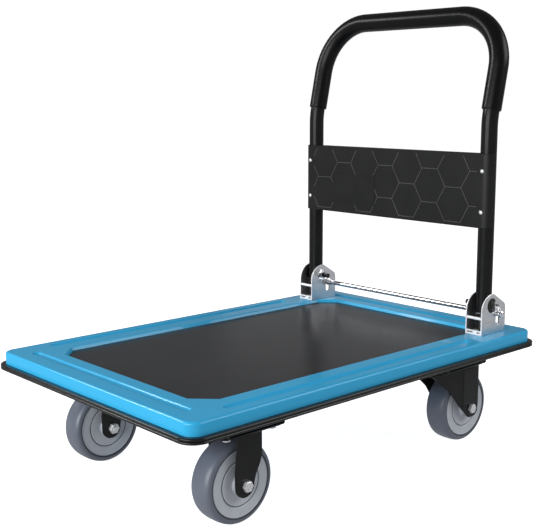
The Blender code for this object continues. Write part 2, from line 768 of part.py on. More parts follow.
def make_axle(word, centre_x, axle_y, on=None):
    """The axle bolt with its head on the cart's outside, its nut, and the sleeve that the wheel turns on."""
    outward = 1 if centre_x > 0 else -1
    face = FORK_INSIDE + FORK_SHEET + GAP
    spot = (axle_y, WHEEL_RADIUS)
    head_x = ordered(centre_x + outward * face, centre_x + outward * (face + 0.0070))
    bolt = add(f"{word}_axle_bolt", prism(polygon(spot, 0.0104, 6), "X", *head_x), "zinc", on)
    shank = ordered(centre_x + outward * (face + 0.002), centre_x - outward * (face + 0.0110))
    join(bolt, round_bar("X", spot, AXLE_RADIUS, *shank))
    nut_x = ordered(centre_x - outward * face, centre_x - outward * (face + 0.0085))
    nut = add(f"{word}_axle_nut", prism(polygon(spot, 0.0104, 6), "X", *nut_x), "zinc", on)
    cut(nut, round_bar("X", spot, AXLE_RADIUS + GAP, nut_x[0] - 0.01, nut_x[1] + 0.01))
    sleeve = [(AXLE_RADIUS + GAP, 0.0331), (0.0102, 0.0331)]
    sleeve += [(radius, -along) for radius, along in reversed(sleeve)]
    add(f"{word}_axle_sleeve", turned(sleeve, (centre_x, axle_y, WHEEL_RADIUS), 16), "zinc", on)


def make_casters():
    for side, word in ((-1, "left"), (1, "right")):
        x = side * CASTER_X
        front = f"front_{word}"
        make_fixed_fork(f"{front}_fork", x, FRONT_AXLE_Y)
        make_axle(front, x, FRONT_AXLE_Y)
        axle = axis_empty(f"{front}_axle_line", (x, FRONT_AXLE_Y, WHEEL_RADIUS))
        make_wheel(front, x, FRONT_AXLE_Y, axle)
        rear = f"rear_{word}"
        make_swivel_mount(rear, x)
        swivel = axis_empty(f"{rear}_swivel_line", (x, SWIVEL_Y, 0))
        make_swivel_fork(f"{rear}_fork", x, REAR_AXLE_Y, swivel)
        make_axle(rear, x, REAR_AXLE_Y, swivel)
        axle = axis_empty(f"{rear}_axle_line", (x, REAR_AXLE_Y, WHEEL_RADIUS), swivel)
        make_wheel(rear, x, REAR_AXLE_Y, axle)


def make_deck():
    make_pan()
    make_mat()
    make_bumper()
    make_cross_member("front_cross_member", FRONT_PLATE_Y)
    make_cross_member("rear_cross_member", SWIVEL_Y)


def make_hinges():
    for side, word in ((-1, "left"), (1, "right")):
        make_bracket(f"{word}_bracket", side)
        make_pivot(side, word)
        make_foot_seat(side, word)
        make_spring(side, word)
        spots = [spot for spot in bracket_bolts() if spot[0] * side > 0]
        for place, spot in zip(("front", "rear"), spots):
            make_bracket_bolt(f"{word}_bracket_{place}_bolt", spot)


def main():
    clear_scene()
    make_deck()
    make_hinges()
    make_lock_rod(axis_empty("lock_rod_line", (0, ROD_Y, ROD_Z)))
    fold = axis_empty("handle_fold_line", (0, PIVOT_Y, PIVOT_Z))
    make_handle(fold)
    make_panel(fold)
    make_casters()


main()
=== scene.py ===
"""Looks of the folding platform cart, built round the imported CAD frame. Metres, in the frame's own axes."""

import math

import bmesh
import bpy
from mathutils import Matrix, Vector


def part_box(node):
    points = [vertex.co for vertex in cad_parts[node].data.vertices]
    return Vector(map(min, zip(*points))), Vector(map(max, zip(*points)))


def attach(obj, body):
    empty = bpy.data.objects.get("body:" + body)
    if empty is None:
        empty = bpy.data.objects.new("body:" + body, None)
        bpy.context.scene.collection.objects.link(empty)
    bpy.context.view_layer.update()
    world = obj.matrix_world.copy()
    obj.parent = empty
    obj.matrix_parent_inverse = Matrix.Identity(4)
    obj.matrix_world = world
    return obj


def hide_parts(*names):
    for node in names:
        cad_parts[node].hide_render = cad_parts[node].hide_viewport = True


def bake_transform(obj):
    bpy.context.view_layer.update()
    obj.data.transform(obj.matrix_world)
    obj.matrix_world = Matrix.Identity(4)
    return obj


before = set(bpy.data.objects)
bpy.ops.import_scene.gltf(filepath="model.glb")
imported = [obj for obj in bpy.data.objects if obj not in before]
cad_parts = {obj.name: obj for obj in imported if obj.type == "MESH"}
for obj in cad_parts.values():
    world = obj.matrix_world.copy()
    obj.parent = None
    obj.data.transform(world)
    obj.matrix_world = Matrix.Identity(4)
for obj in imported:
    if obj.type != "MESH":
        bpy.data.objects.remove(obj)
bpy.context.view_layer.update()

SIDES = ((-1, "left"), (1, "right"))
CHASSIS = "chassis"
HANDLE = "handle"
ROD = "lock_rod"

# The gap between parts that touch in life
GAP = 0.0003

# Deck
DECK_TOP = 0.226
PAN_HALF = (0.290, 0.440)
PAN_CORNER = 0.022
PAN_EDGE = 0.005
PAN_SHEET = 0.0023
PAN_SKIRT = 0.0288
RECESS_HALF = (0.221, 0.365)
RECESS_CUT = 0.036
RECESS_DEPTH = 0.0085
RECESS_SLOPE = 0.003
# Half widths of a groove and the depths below the deck where they are reached
GROOVE_PROFILE = ((0.0094, 0.0), (0.0088, 0.00008), (0.0081, 0.0004), (0.0073, 0.0011))
GROOVE_PROFILE += ((0.0063, 0.0021), (0.0051, 0.0030), (0.0037, 0.0036), (0.0020, 0.0039))
END_GROOVE = (0.227, 0.400)
SIDE_GROOVE_X = 0.2605
SIDE_GROOVE_Y = (-0.344, 0.256)

# Handle and hinge
HANDLE_X = 0.2375
PIVOT_Y = 0.343
PIVOT_Z = 0.284
TUBE_RADIUS = 0.016
TUBE_FOOT = 0.0156
BEND_START = DECK_TOP + 0.408
BEND_RADIUS = 0.155
BEND_ANGLE = math.radians(12.5)
CORNER_RADIUS = 0.107
TOP_Z = DECK_TOP + 0.628
GRIP_RADIUS = 0.01928
GRIP_START = DECK_TOP + 0.4425
PANEL_Z = (DECK_TOP + 0.2125, DECK_TOP + 0.3588)
PANEL_REACH = 0.0193
PANEL_BACK = 0.011
# The corners of the panel's plain field in X and Z, from the middle of the panel
PLAIN_FIELD = ((-0.165, -0.052), (-0.041, 0.013))
BRACKET_X = (0.218, 0.258)
BRACKET_Y = (0.311, 0.3895)
BRACKET_TOP = 0.081
BRACKET_SHEET = 0.0032
BRACKET_BASE = DECK_TOP + GAP
BRACKET_FLOOR = DECK_TOP + 2 * GAP + BRACKET_SHEET
BRACKET_BOLTS = (("front", 0.3215), ("rear", 0.3775))
LIP_HEIGHT = 0.0093
LIP_NOTCHES = ((0.0035, 0.0170), (0.0270, 0.0345))
TIE_BAR = (0.3145, DECK_TOP + 0.034)
TIE_BAR_RADIUS = 0.003
BUSH_RADIUS = 0.0145
PIVOT_BOLT_RADIUS = 0.005
PIVOT_STUB = 0.022
ROD_Y = 0.363
ROD_Z = DECK_TOP + 0.0385
ROD_RADIUS = 0.005
ROD_HALF = 0.272
ROD_TRAVEL = 0.015
LUG_Y = 0.3545
SCREW_Z = (DECK_TOP + 0.2439, DECK_TOP + 0.3246)

# Casters
WHEEL_RADIUS = 0.0715
TYRE_HALF = 0.0237
DISC_RADIUS = 0.0594
CASTER_X = 0.195
FRONT_AXLE_Y = -0.284
REAR_AXLE_Y = 0.318
FRONT_PLATE_Y = -0.279
SWIVEL_Y = 0.274
PLATE_TOP = 0.168
PLATE_SHEET = 0.004
PLATE_HALF = (0.0525, 0.0625)
FORK_INSIDE = 0.0335
FORK_SHEET = 0.004
FORK_TOP = 0.158
AXLE_BORE = 0.0062
SWIVEL_FORK_Y = (-0.113, 0.0245)
CHANNEL_HALF_X = 0.255
CHANNEL_HALF_Y = 0.060
CHANNEL_FLANGE = 0.015
CHANNEL_SHEET = 0.0025


# ---- outlines and meshes


def ordered(a, b):
    return min(a, b), max(a, b)


def rectangle(low, high):
    return [low, (high[0], low[1]), high, (low[0], high[1])]


def arc(centre, radius, first, last, steps):
    points = []
    for step in range(steps + 1):
        angle = math.radians(first + (last - first) * step / steps)
        points.append((centre[0] + radius * math.cos(angle), centre[1] + radius * math.sin(angle)))
    return points


def polygon(centre, radius, sides, turn=0.0):
    return arc(centre, radius, turn, turn + 360 - 360 / sides, sides - 1)


def stadium(first, last, radius, steps):
    heading = math.degrees(math.atan2(last[1] - first[1], last[0] - first[0]))
    far = arc(last, radius, heading - 90, heading + 90, steps)
    return arc(first, radius, heading + 90, heading + 270, steps) + far


def corner_loop(half, corner, z, straight=False, steps=12):
    """A rectangle about the Z axis whose corners are arcs, or straight cuts with as many points."""
    points = []
    for turn in range(4):
        sign_x, sign_y = ((1, 1), (-1, 1), (-1, -1), (1, -1))[turn]
        centre = Vector((sign_x * (half[0] - corner), sign_y * (half[1] - corner)))
        start = turn * math.pi / 2
        for step in range(steps + 1):
            part = step / steps
            if straight:
                first = Vector((math.cos(start), math.sin(start)))
                last = Vector((-math.sin(start), math.cos(start)))
                shift = corner * first.lerp(last, part)
            else:
                angle = start + part * math.pi / 2
                shift = corner * Vector((math.cos(angle), math.sin(angle)))
            points.append((*(centre + shift), z))
    return points


def area(outline):
    pairs = zip(outline, outline[1:] + outline[:1])
    return sum(x0 * y1 - x1 * y0 for (x0, y0), (x1, y1) in pairs) / 2


def offset(outline, distance):
    """The outline moved outward by distance, or inward if it is negative."""
    sign = 1 if area(outline) > 0 else -1
    count = len(outline)
    moved = []
    for i in range(count):
        before, here, after = (Vector(outline[k % count]) for k in (i - 1, i, i + 1))
        first, last = (here - before).normalized(), (after - here).normalized()
        normals = [sign * Vector((d.y, -d.x)) for d in (first, last)]
        middle = (normals[0] + normals[1]).normalized()
        reach = distance / max(middle.dot(normals[0]), 0.5)
        moved.append(tuple(here + reach * middle))
    return moved


def rounded(outline, radii, steps=5):
    """The outline with an arc in place of each corner. radii is one value, or one for each corner."""
    count = len(outline)
    if not hasattr(radii, "__len__"):
        radii = [radii] * count
    points = []
    for i, radius in enumerate(radii):
        before, here, after = (Vector(outline[k % count]) for k in (i - 1, i, i + 1))
        first, last = (before - here), (after - here)
        angle = first.angle(last)
        if radius < 1e-6 or angle > math.radians(177):
            points.append(tuple(here))
            continue
        reach = min(radius / math.tan(angle / 2), 0.48 * first.length, 0.48 * last.length)
        start, end = here + first.normalized() * reach, here + last.normalized() * reach
        for step in range(steps + 1):
            t = step / steps
            spot = (1 - t) ** 2 * start + 2 * t * (1 - t) * here + t * t * end
            points.append(tuple(spot))
    return points


def placed(axis, point, along):
    """A point given in the two other axes, in X, Y, Z order."""
    a, b = point
    return {"X": (along, a, b), "Y": (a, along, b), "Z": (a, b, along)}[axis]


def bridge(bm, *rows):
    """Faces between each row of points and the next."""
    for first, second in zip(rows[:-1], rows[1:]):
        for i in range(len(first)):
            j = (i + 1) % len(first)
            bm.faces.new((first[i], first[j], second[j], second[i]))


def skin(loops, closed=False):
    """A surface through a row of loops, with flat ends unless it closes on itself."""
    bm = bmesh.new()
    rows = [[bm.verts.new(point) for point in loop] for loop in loops]
    bridge(bm, *rows)
    if closed:
        bridge(bm, rows[-1], rows[0])
    else:
        bm.faces.new(rows[0])
        bm.faces.new(rows[-1])
    return bm


def fill(bm, *loops):
    """A flat face between an outer loop and the loops of its holes."""
    edges = []
    for loop in loops:
        for i, vert in enumerate(loop):
            other = loop[(i + 1) % len(loop)]
            edges.append(bm.edges.get((vert, other)) or bm.edges.new((vert, other)))
    bmesh.ops.triangle_fill(bm, use_beauty=True, use_dissolve=False, edges=edges)


def plate(outline, axis, low, high, holes=(), bevel=0.0005):
    """A flat plate with holes and softened edges."""
    bm = bmesh.new()
    levels = ((low, -bevel), (low + bevel, 0), (high - bevel, 0), (high, -bevel))
    ends = ([], [])
    for shape, sign in [(outline, 1)] + [(hole, -1) for hole in holes]:
        rows = []
        for along, inset in levels:
            moved = offset(shape, sign * inset) if inset else shape
            rows.append([bm.verts.new(placed(axis, point, along)) for point in moved])
        bridge(bm, *rows)
        ends[0].append(rows[0])
        ends[1].append(rows[-1])
    for loops in ends:
        fill(bm, *loops)
    return bm


def block(low, high, bevel=0.0005):
    return plate(rectangle(low[:2], high[:2]), "Z", low[2], high[2], bevel=bevel)


def turned(profile, centre, steps, axis="X"):
    """A profile of (radius, along) turned about a line through centre. A radius of 0 is a point on it."""
    bm = bmesh.new()
    rows = []
    for radius, along in profile:
        count = steps if radius else 1
        row = []
        for step in range(count):
            angle = 2 * math.pi * step / steps
            spot = placed(axis, (radius * math.cos(angle), radius * math.sin(angle)), along)
            row.append(bm.verts.new(Vector(centre) + Vector(spot)))
        rows.append(row)
    pairs = list(zip(rows[:-1], rows[1:]))
    if len(rows[0]) > 1:
        pairs.append((rows[-1], rows[0]))
    for first, second in pairs:
        for i in range(steps):
            j = (i + 1) % steps
            near = [first[k % len(first)] for k in (i, j)]
            far = [second[k % len(second)] for k in (j, i)]
            corners = list(dict.fromkeys(near + far))
            if len(corners) > 2:
                bm.faces.new(corners)
    return bm


def cylinder(radius, first, last, centre, steps, axis="X"):
    return turned([(0, first), (radius, first), (radius, last), (0, last)], centre, steps, axis)


def mirrored(half):
    """Half of a turned profile, and the same from its other end."""
    return half + [(radius, -along) for radius, along in reversed(half)]


def softened(profile, radius):
    """A turned profile with its corners rounded. Points on the axis stay."""
    radii = [radius if r > 0 else 0 for r, _ in profile]
    return [(max(r, 0.0), a) for r, a in rounded(profile, radii, 3)]


def sweep(path, radii, steps):
    """A round bar along a path, with a radius at each point."""
    path = [Vector(point) for point in path]
    count = len(path)
    side, previous, loops = None, None, []
    for i in range(count):
        tangent = (path[min(i + 1, count - 1)] - path[max(i - 1, 0)]).normalized()
        if side is None:
            side = tangent.orthogonal().normalized()
        else:
            side = previous.rotation_difference(tangent) @ side
        previous = tangent
        up = tangent.cross(side).normalized()
        loop = []
        for step in range(steps):
            angle = 2 * math.pi * step / steps
            loop.append(path[i] + radii[i] * (math.cos(angle) * side + math.sin(angle) * up))
        loops.append(loop)
    return skin(loops)


def hexagon_head(spot, radius, axis, low, high, turn=0.0):
    return plate(polygon(spot, radius, 6, turn), axis, low, high, bevel=min(0.0009, radius * 0.12))


def washer_mesh(centre, bore, radius, first, last, steps, axis):
    profile = [(bore, first), (radius, first), (radius, last), (bore, last)]
    return turned(softened(profile, 0.0003), centre, steps, axis)


def as_mesh(name, bm):
    mesh = bpy.data.meshes.new(name)
    bm.to_mesh(mesh)
    bm.free()
    return mesh


def joined(*meshes):
    whole = bmesh.new()
    for bm in meshes:
        bmesh.ops.recalc_face_normals(bm, faces=bm.faces)
        temporary = as_mesh("temporary", bm)
        whole.from_mesh(temporary)
        bpy.data.meshes.remove(temporary)
    return whole


def shown(name, data):
    """A new object in the scene."""
    obj = bpy.data.objects.new(name, data)
    bpy.context.scene.collection.objects.link(obj)
    return obj


def piece(name, bm, material, body, slot, *replaced, smooth=40, weighted=True):
    """A finished piece of the visual model that rides on a body and stands for CAD nodes."""
    bmesh.ops.recalc_face_normals(bm, faces=bm.faces)
    mesh = as_mesh(name, bm)
    mesh.materials.append(material)
    mesh.shade_smooth()
    mesh.set_sharp_from_angle(angle=math.radians(smooth))
    obj = shown(name, mesh)
    if weighted:
        normals = obj.modifiers.new("weighted_normals", "WEIGHTED_NORMAL")
        normals.keep_sharp = True
    if body:
        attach(obj, body)
    if replaced:
        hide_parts(*replaced)
    return obj


# ---- materials


NOISE_RANGE = (0.3, 0.7)


class Nodes:
    """A small helper that adds nodes to a material and links them."""

    def __init__(self, name):
        self.material = bpy.data.materials.new(name)
        self.material.use_nodes = True
        self.tree = self.material.node_tree
        self.shader = self.tree.nodes["Principled BSDF"]
        self.coordinates = self.tree.nodes.new("ShaderNodeTexCoord").outputs["Object"]

    def link(self, source, target):
        self.tree.links.new(source, target)

    def noise(self, scale, stretch, detail=3, roughness=0.5):
        mapping = self.tree.nodes.new("ShaderNodeMapping")
        mapping.inputs["Scale"].default_value = stretch
        self.link(self.coordinates, mapping.inputs["Vector"])
        texture = self.tree.nodes.new("ShaderNodeTexNoise")
        texture.inputs["Scale"].default_value = scale
        texture.inputs["Detail"].default_value = detail
        texture.inputs["Roughness"].default_value = roughness
        self.link(mapping.outputs["Vector"], texture.inputs["Vector"])
        return texture.outputs["Fac"]

    def ramp(self, source, low, high):
        ramp = self.tree.nodes.new("ShaderNodeValToRGB")
        for stop, position, colour in zip(ramp.color_ramp.elements, NOISE_RANGE, (low, high)):
            stop.position = position
            stop.color = (*colour, 1)
        self.link(source, ramp.inputs["Fac"])
        return ramp.outputs["Color"]

    def spread(self, source, low, high):
        spread = self.tree.nodes.new("ShaderNodeMapRange")
        for name, value in zip(("From Min", "From Max", "To Min", "To Max"), (*NOISE_RANGE, low, high)):
            spread.inputs[name].default_value = value
        self.link(source, spread.inputs["Value"])
        return spread.outputs["Result"]

    def bump(self, height, strength, distance):
        bump = self.tree.nodes.new("ShaderNodeBump")
        bump.inputs["Strength"].default_value = strength
        bump.inputs["Distance"].default_value = distance
        self.link(height, bump.inputs["Height"])
        self.link(bump.outputs["Normal"], self.shader.inputs["Normal"])


def surface(
    name, low, high, rough, colour_scale=18, rough_scale=40, bump=None, specular=0.5, stretch=(1, 1, 1),
    **inputs,
):
    """A material whose colour, roughness and fine relief vary.

    low and high are greys or colours. bump is (scale, strength, depth). inputs are those of the shader.
    """
    made = Nodes(name)
    low, high = ((shade,) * 3 if isinstance(shade, float) else shade for shade in (low, high))
    colour = made.ramp(made.noise(colour_scale, stretch), low, high)
    made.link(colour, made.shader.inputs["Base Color"])
    made.link(made.spread(made.noise(rough_scale, stretch, 4), *rough), made.shader.inputs["Roughness"])
    if bump:
        made.bump(made.noise(bump[0], stretch, 5, 0.6), bump[1], bump[2])
    for key, value in {"Specular_IOR_Level": specular, **inputs}.items():
        made.shader.inputs[key.replace("_", " ")].default_value = value
    return made.material


PAINT = surface(
    "blue_powder_coat", (0.028, 0.378, 0.672), (0.032, 0.395, 0.697), (0.22, 0.26), colour_scale=4,
    rough_scale=60, bump=(900, 0.04, 0.0002), specular=0.12, Coat_Weight=0.38, Coat_Roughness=0.05,
)
MAT = surface(
    "smooth_rubber_mat", (0.024, 0.024, 0.025), (0.029, 0.029, 0.030), (0.24, 0.26), colour_scale=14,
    rough_scale=60, bump=(1500, 0.006, 0.0001), specular=0.14,
)
BUMPER = surface("rubber_bumper", 0.007, 0.010, (0.20, 0.25), bump=(900, 0.04, 0.0002), specular=0.3)
BLACK_STEEL = surface(
    "black_painted_steel", 0.007, 0.010, (0.20, 0.27), bump=(700, 0.05, 0.0003), specular=0.25,
)
TUBE = surface(
    "black_powder_coat_tube", 0.008, 0.010, (0.20, 0.25), bump=(700, 0.03, 0.0002), specular=0.15,
)
GRIP = surface("vinyl_grip", 0.004, 0.005, (0.27, 0.31), bump=(1800, 0.008, 0.0001), specular=0.14)
PANEL = surface("moulded_panel", 0.009, 0.012, (0.38, 0.44), bump=(1800, 0.05, 0.0001), specular=0.20)
# The panel's hexagon lines are real raised relief; their lighter grey is painted highlight, the glint along
# each line's upper edge.
HEXLINE_HIGHLIGHT = surface("panel_line_painted_highlight", 0.058, 0.085, (0.34, 0.40), bump=(1800, 0.1, 0.0002))
NYLON = surface("black_nylon", 0.008, 0.011, (0.32, 0.40), bump=(1200, 0.08, 0.0002), specular=0.4)
CHROME = surface(
    "brushed_chrome", (0.66, 0.66, 0.67), (0.80, 0.80, 0.82), (0.30, 0.38), colour_scale=60,
    rough_scale=220, bump=(500, 0.06, 0.0002), stretch=(1, 1, 9), Metallic=1.0,
)
# Near-white steel. Its colour is partly painted highlight: the glints along the brackets' cut edges and the
# white reflection on the front lip.
PAINTED_HIGHLIGHT_STEEL = surface(
    "steel_with_painted_edge_highlight", 0.88, 0.94, (0.24, 0.32), colour_scale=60, rough_scale=220, Metallic=0.15,
)
ROD_CHROME = surface(
    "bright_chrome", (0.78, 0.78, 0.80), (0.86, 0.86, 0.88), (0.07, 0.11), rough_scale=120, Metallic=1.0,
)
ZINC = surface(
    "zinc_plate", (0.70, 0.70, 0.71), (0.84, 0.84, 0.85), (0.24, 0.36), colour_scale=160, rough_scale=300,
    bump=(900, 0.03, 0.0001), Metallic=0.7,
)
TYRE = surface(
    "grey_rubber_tyre", (0.108, 0.121, 0.155), (0.124, 0.138, 0.175), (0.32, 0.40), colour_scale=25,
    bump=(1200, 0.08, 0.0002),
)
DISC = surface(
    "grey_wheel_disc", (0.45, 0.475, 0.52), (0.50, 0.525, 0.57), (0.36, 0.44), colour_scale=60,
    bump=(900, 0.08, 0.0002),
)
# Dark rings that sit in the wheel's disc groove and tyre seam: painted shade for those recesses.
PAINTED_GROOVE_SHADE = surface(
    "painted_groove_shade", (0.030, 0.032, 0.040), (0.045, 0.048, 0.058), (0.4, 0.5), bump=(800, 0.1, 0.0002),
)
FLOOR = surface(
    "white_floor", 0.69, 0.71, (0.7, 0.8), colour_scale=2, Emission_Color=(1, 1, 1, 1),
    Emission_Strength=0.90,
)


# ---- deck


def make_pan():
    """The pressed sheet: recess, flat rim with four grooves, rounded edge and skirt."""
    bm = bmesh.new()

    def row(points):
        return [bm.verts.new(point) for point in points]

    def recess(grow, cut, below):
        half = (RECESS_HALF[0] + grow, RECESS_HALF[1] + grow)
        return row(corner_loop(half, RECESS_CUT + cut, DECK_TOP - below, straight=True))

    slope, depth = RECESS_SLOPE, RECESS_DEPTH
    inner = [
        recess(-slope - 0.0016, -0.0022, depth),
        recess(-slope - 0.0004, -0.0017, depth - 0.0003),
        recess(-slope + 0.0004, -0.0013, depth - 0.0014),
        recess(-0.0006, -0.0003, 0.0016),
        recess(0.0001, 0, 0.0007),
        recess(0.0009, 0.0004, 0.0002),
        recess(0.0020, 0.0008, 0),
    ]
    bridge(bm, *inner)
    bm.faces.new(inner[0])

    hx, hy = PAN_HALF
    outer = []
    for step in range(9):
        angle = math.pi / 2 * step / 8
        inset, drop = PAN_EDGE * (1 - math.sin(angle)), PAN_EDGE * (1 - math.cos(angle))
        outer.append(row(corner_loop((hx - inset, hy - inset), PAN_CORNER - inset, DECK_TOP - drop)))
    outer.append(row(corner_loop((hx, hy), PAN_CORNER, DECK_TOP - 0.015)))
    outer.append(row(corner_loop((hx, hy), PAN_CORNER, DECK_TOP - PAN_SKIRT)))
    bridge(bm, *outer)

    holes = []
    for ends in groove_ends():
        rows = [
            row([(x, y, DECK_TOP - below) for x, y in stadium(*ends, radius, 10)])
            for radius, below in GROOVE_PROFILE
        ]
        bridge(bm, *rows)
        bm.faces.new(rows[-1])
        holes.append(rows[0])
    fill(bm, outer[0], inner[-1], *holes)
    pan = piece("deck_pan_pressing", bm, PAINT, CHASSIS, "blue_paint", "deck_pan", weighted=False)
    sheet = pan.modifiers.new("sheet", "SOLIDIFY")
    sheet.thickness = PAN_SHEET
    sheet.offset = -1
    normals = pan.modifiers.new("weighted_normals", "WEIGHTED_NORMAL")
    normals.keep_sharp = True


def groove_ends():
    reach, end_y = END_GROOVE
    ends = [((-reach, y), (reach, y)) for y in (-end_y, end_y)]
    low, high = SIDE_GROOVE_Y
    return ends + [((x, low), (x, high)) for x in (-SIDE_GROOVE_X, SIDE_GROOVE_X)]


def make_mat():
    half = (RECESS_HALF[0] - RECESS_SLOPE - 0.0005, RECESS_HALF[1] - RECESS_SLOPE - 0.0005)
    low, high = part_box("deck_mat")
    soft = 0.0005
    loops = []
    cut = RECESS_CUT - 0.0015
    levels = [(soft, low.z), (0, low.z + soft), (0, high.z - soft)]
    levels += [(0.3 * soft, high.z - 0.3 * soft), (soft, high.z)]
    for inset, z in levels:
        size = (half[0] - inset, half[1] - inset)
        loops.append(corner_loop(size, cut - inset / 2, z, straight=True, steps=1))
    piece("rubber_mat", skin(loops), MAT, CHASSIS, "mat", "deck_mat")


def make_bumper():
    """A rubber channel with two round ridges, pushed up over the skirt."""
    skirt = 0.0003
    outside = [(skirt, 0.0222), (0.0045, 0.0222)]
    outside += arc((0.0074, 0.0248), 0.0026, -120, 62, 9)
    outside += [(0.0079, 0.0274)]
    outside += arc((0.0074, 0.0300), 0.0026, -62, 110, 9)
    under = [(-0.0045, 0.0325), (-0.0056, 0.0316), (-0.0058, 0.0306)]
    inside = [(-0.0058, 0.0260), (-0.0052, 0.0250), (-0.0028, 0.0250), (-0.0028, 0.0293), (skirt, 0.0293)]
    loops = []
    for out, below in outside + under + inside:
        size = (PAN_HALF[0] + out, PAN_HALF[1] + out)
        loops.append(corner_loop(size, PAN_CORNER + out, DECK_TOP - below))
    bm = skin(loops, closed=True)
    piece("rubber_edge_bumper", bm, BUMPER, CHASSIS, "bumper", "edge_bumper", smooth=50)


def make_cross_member(name, centre_y):
    top = DECK_TOP - (RECESS_DEPTH + 0.0028)
    bottom = PLATE_TOP + GAP
    sheet, wall = CHANNEL_SHEET, CHANNEL_HALF_Y
    flange = wall + CHANNEL_FLANGE
    half = [(flange, top), (flange, top - sheet), (wall, top - sheet), (wall, bottom)]
    inner = [(wall - sheet, bottom + sheet), (wall - sheet, top)]
    outline = half + [(-y, z) for y, z in reversed(half)]
    outline += [(-y, z) for y, z in reversed(inner)] + inner
    outline = [(centre_y + y, z) for y, z in outline]
    edge, bend_inside, bend_outside = 0.0005, 0.002, 0.004
    radii = [edge, edge, bend_inside, bend_outside, bend_outside, bend_inside, edge, edge]
    radii += [0.001, bend_inside, bend_inside, 0.001]
    bm = plate(rounded(outline, radii), "X", -CHANNEL_HALF_X, CHANNEL_HALF_X, bevel=0.0004)
    piece(f"{name}_channel", bm, BLACK_STEEL, CHASSIS, "black_steel", name)


# ---- brackets, pivots and lock rod


def bracket_outline():
    """A plate seen from the side: a curved front, a small crown, and a back that slopes to a post."""
    low, high = BRACKET_Y
    shoulder = DECK_TOP + 0.048
    depth, crown_radius, steps = 0.035, 0.012, 18
    front = []
    for step in range(steps + 1):
        angle = math.radians(90 * step / steps)
        y = low + depth * (1 - math.cos(angle))
        front.append((y, shoulder + (BRACKET_TOP - 0.048) * math.sin(angle)))
    crown = arc((low + depth, DECK_TOP + BRACKET_TOP - crown_radius), crown_radius, 84, 48, 6)
    back = [(high - 0.0025, DECK_TOP + 0.0575), (high, shoulder + 0.001)]
    back += [(high, DECK_TOP + 0.0120), (high - 0.0025, BRACKET_BASE)]
    radii = [0.0] * (1 + len(front) + len(crown)) + [0.007, 0.006, 0.006, 0.0]
    return rounded([(low, BRACKET_BASE)] + front + crown + back, radii)


def kidney(grow):
    """The bush's outline: a disc with a notch towards the rear."""
    turn = 40 - math.degrees(grow / BUSH_RADIUS) * 2
    rim = arc((PIVOT_Y, PIVOT_Z), BUSH_RADIUS + grow, turn, 360 - turn, 40)
    return rim + [(PIVOT_Y + 0.0070 + 1.5 * grow, PIVOT_Z)]


def rod_slot():
    ends = ((ROD_Y, ROD_Z - ROD_TRAVEL - 0.0008), (ROD_Y, ROD_Z + 0.0006))
    return stadium(*ends, ROD_RADIUS + 0.0005, 10)


def make_bracket(side, word):
    """A bent steel shoe: two plates with the spring's lug, and a floor with a front lip and a tie bar."""
    inner, outer = (side * x for x in BRACKET_X)
    sheet, base = BRACKET_SHEET, BRACKET_BASE
    outline = bracket_outline()
    lug_x = ordered(outer - side * 0.001, outer + side * 0.009)
    lug = ((lug_x[0], LUG_Y - 0.0012, PIVOT_Z - 0.002), (lug_x[1], LUG_Y + 0.0012, PIVOT_Z + 0.002))
    parts = [
        plate(outline, "X", *ordered(outer - side * sheet, outer), holes=[kidney(GAP), rod_slot()]),
        plate(outline, "X", *ordered(inner, inner + side * sheet), holes=[rod_slot()]),
        block(*lug),
    ]
    piece(f"{word}_bracket_plates", joined(*parts), CHROME, CHASSIS, "chrome", f"{word}_bracket")

    low_x, high_x = ordered(inner + side * 0.0010, outer - side * 0.0010)
    floor = rectangle((low_x, BRACKET_Y[0] + 0.001), (high_x, BRACKET_Y[1] - 0.004))
    low_x, high_x = ordered(inner + side * 0.0004, outer - side * 0.0004)
    lip = rounded(rectangle((low_x, base), (high_x, base + LIP_HEIGHT)), [0, 0, 0.003, 0.003])
    notches = [
        rounded(rectangle((low_x + a, base + 0.0030), (low_x + b, base + 0.0066)), 0.0009)
        for a, b in LIP_NOTCHES
    ]
    bar = ordered(inner + side * 0.0012, outer - side * 0.0012)
    parts = [
        plate(floor, "Z", base, base + sheet),
        plate(lip, "Y", BRACKET_Y[0] + 0.0002, BRACKET_Y[0] + sheet, holes=notches, bevel=0.0007),
        cylinder(TIE_BAR_RADIUS, *bar, (0, *TIE_BAR), 20),
    ]
    # A thin strip round each plate's edge in the near-white steel: a painted highlight along the cut edge.
    proud, width = 0.00015, 0.002
    rim, inside = offset(outline, proud), offset(outline, -width)
    for face in (outer - side * sheet, inner):
        low_x, high_x = ordered(face, face + side * sheet)
        parts.append(plate(rim, "X", low_x + 0.0005, high_x - 0.0005, holes=[inside], bevel=0.0001))
    piece(f"{word}_bracket_floor_and_highlit_edges", joined(*parts), PAINTED_HIGHLIGHT_STEEL, CHASSIS, "chrome")


def make_bracket_bolts(side, word):
    """The two bolts that hold the shoe to the deck, each with a washer."""
    floor = BRACKET_FLOOR
    for place, y in BRACKET_BOLTS:
        spot = (side * HANDLE_X, y)
        parts = [
            hexagon_head(spot, 0.0064, "Z", floor + 0.0010, floor + 0.0056),
            washer_mesh((*spot, floor), 0.0030, 0.0078, 0, 0.0012, 32, "Z"),
            cylinder(0.0039, DECK_TOP - 0.0090, floor + 0.0020, (*spot, 0), 20, "Z"),
        ]
        name = f"{word}_bracket_{place}_bolt"
        piece(f"{name}_set", joined(*parts), ZINC, CHASSIS, "zinc", name)


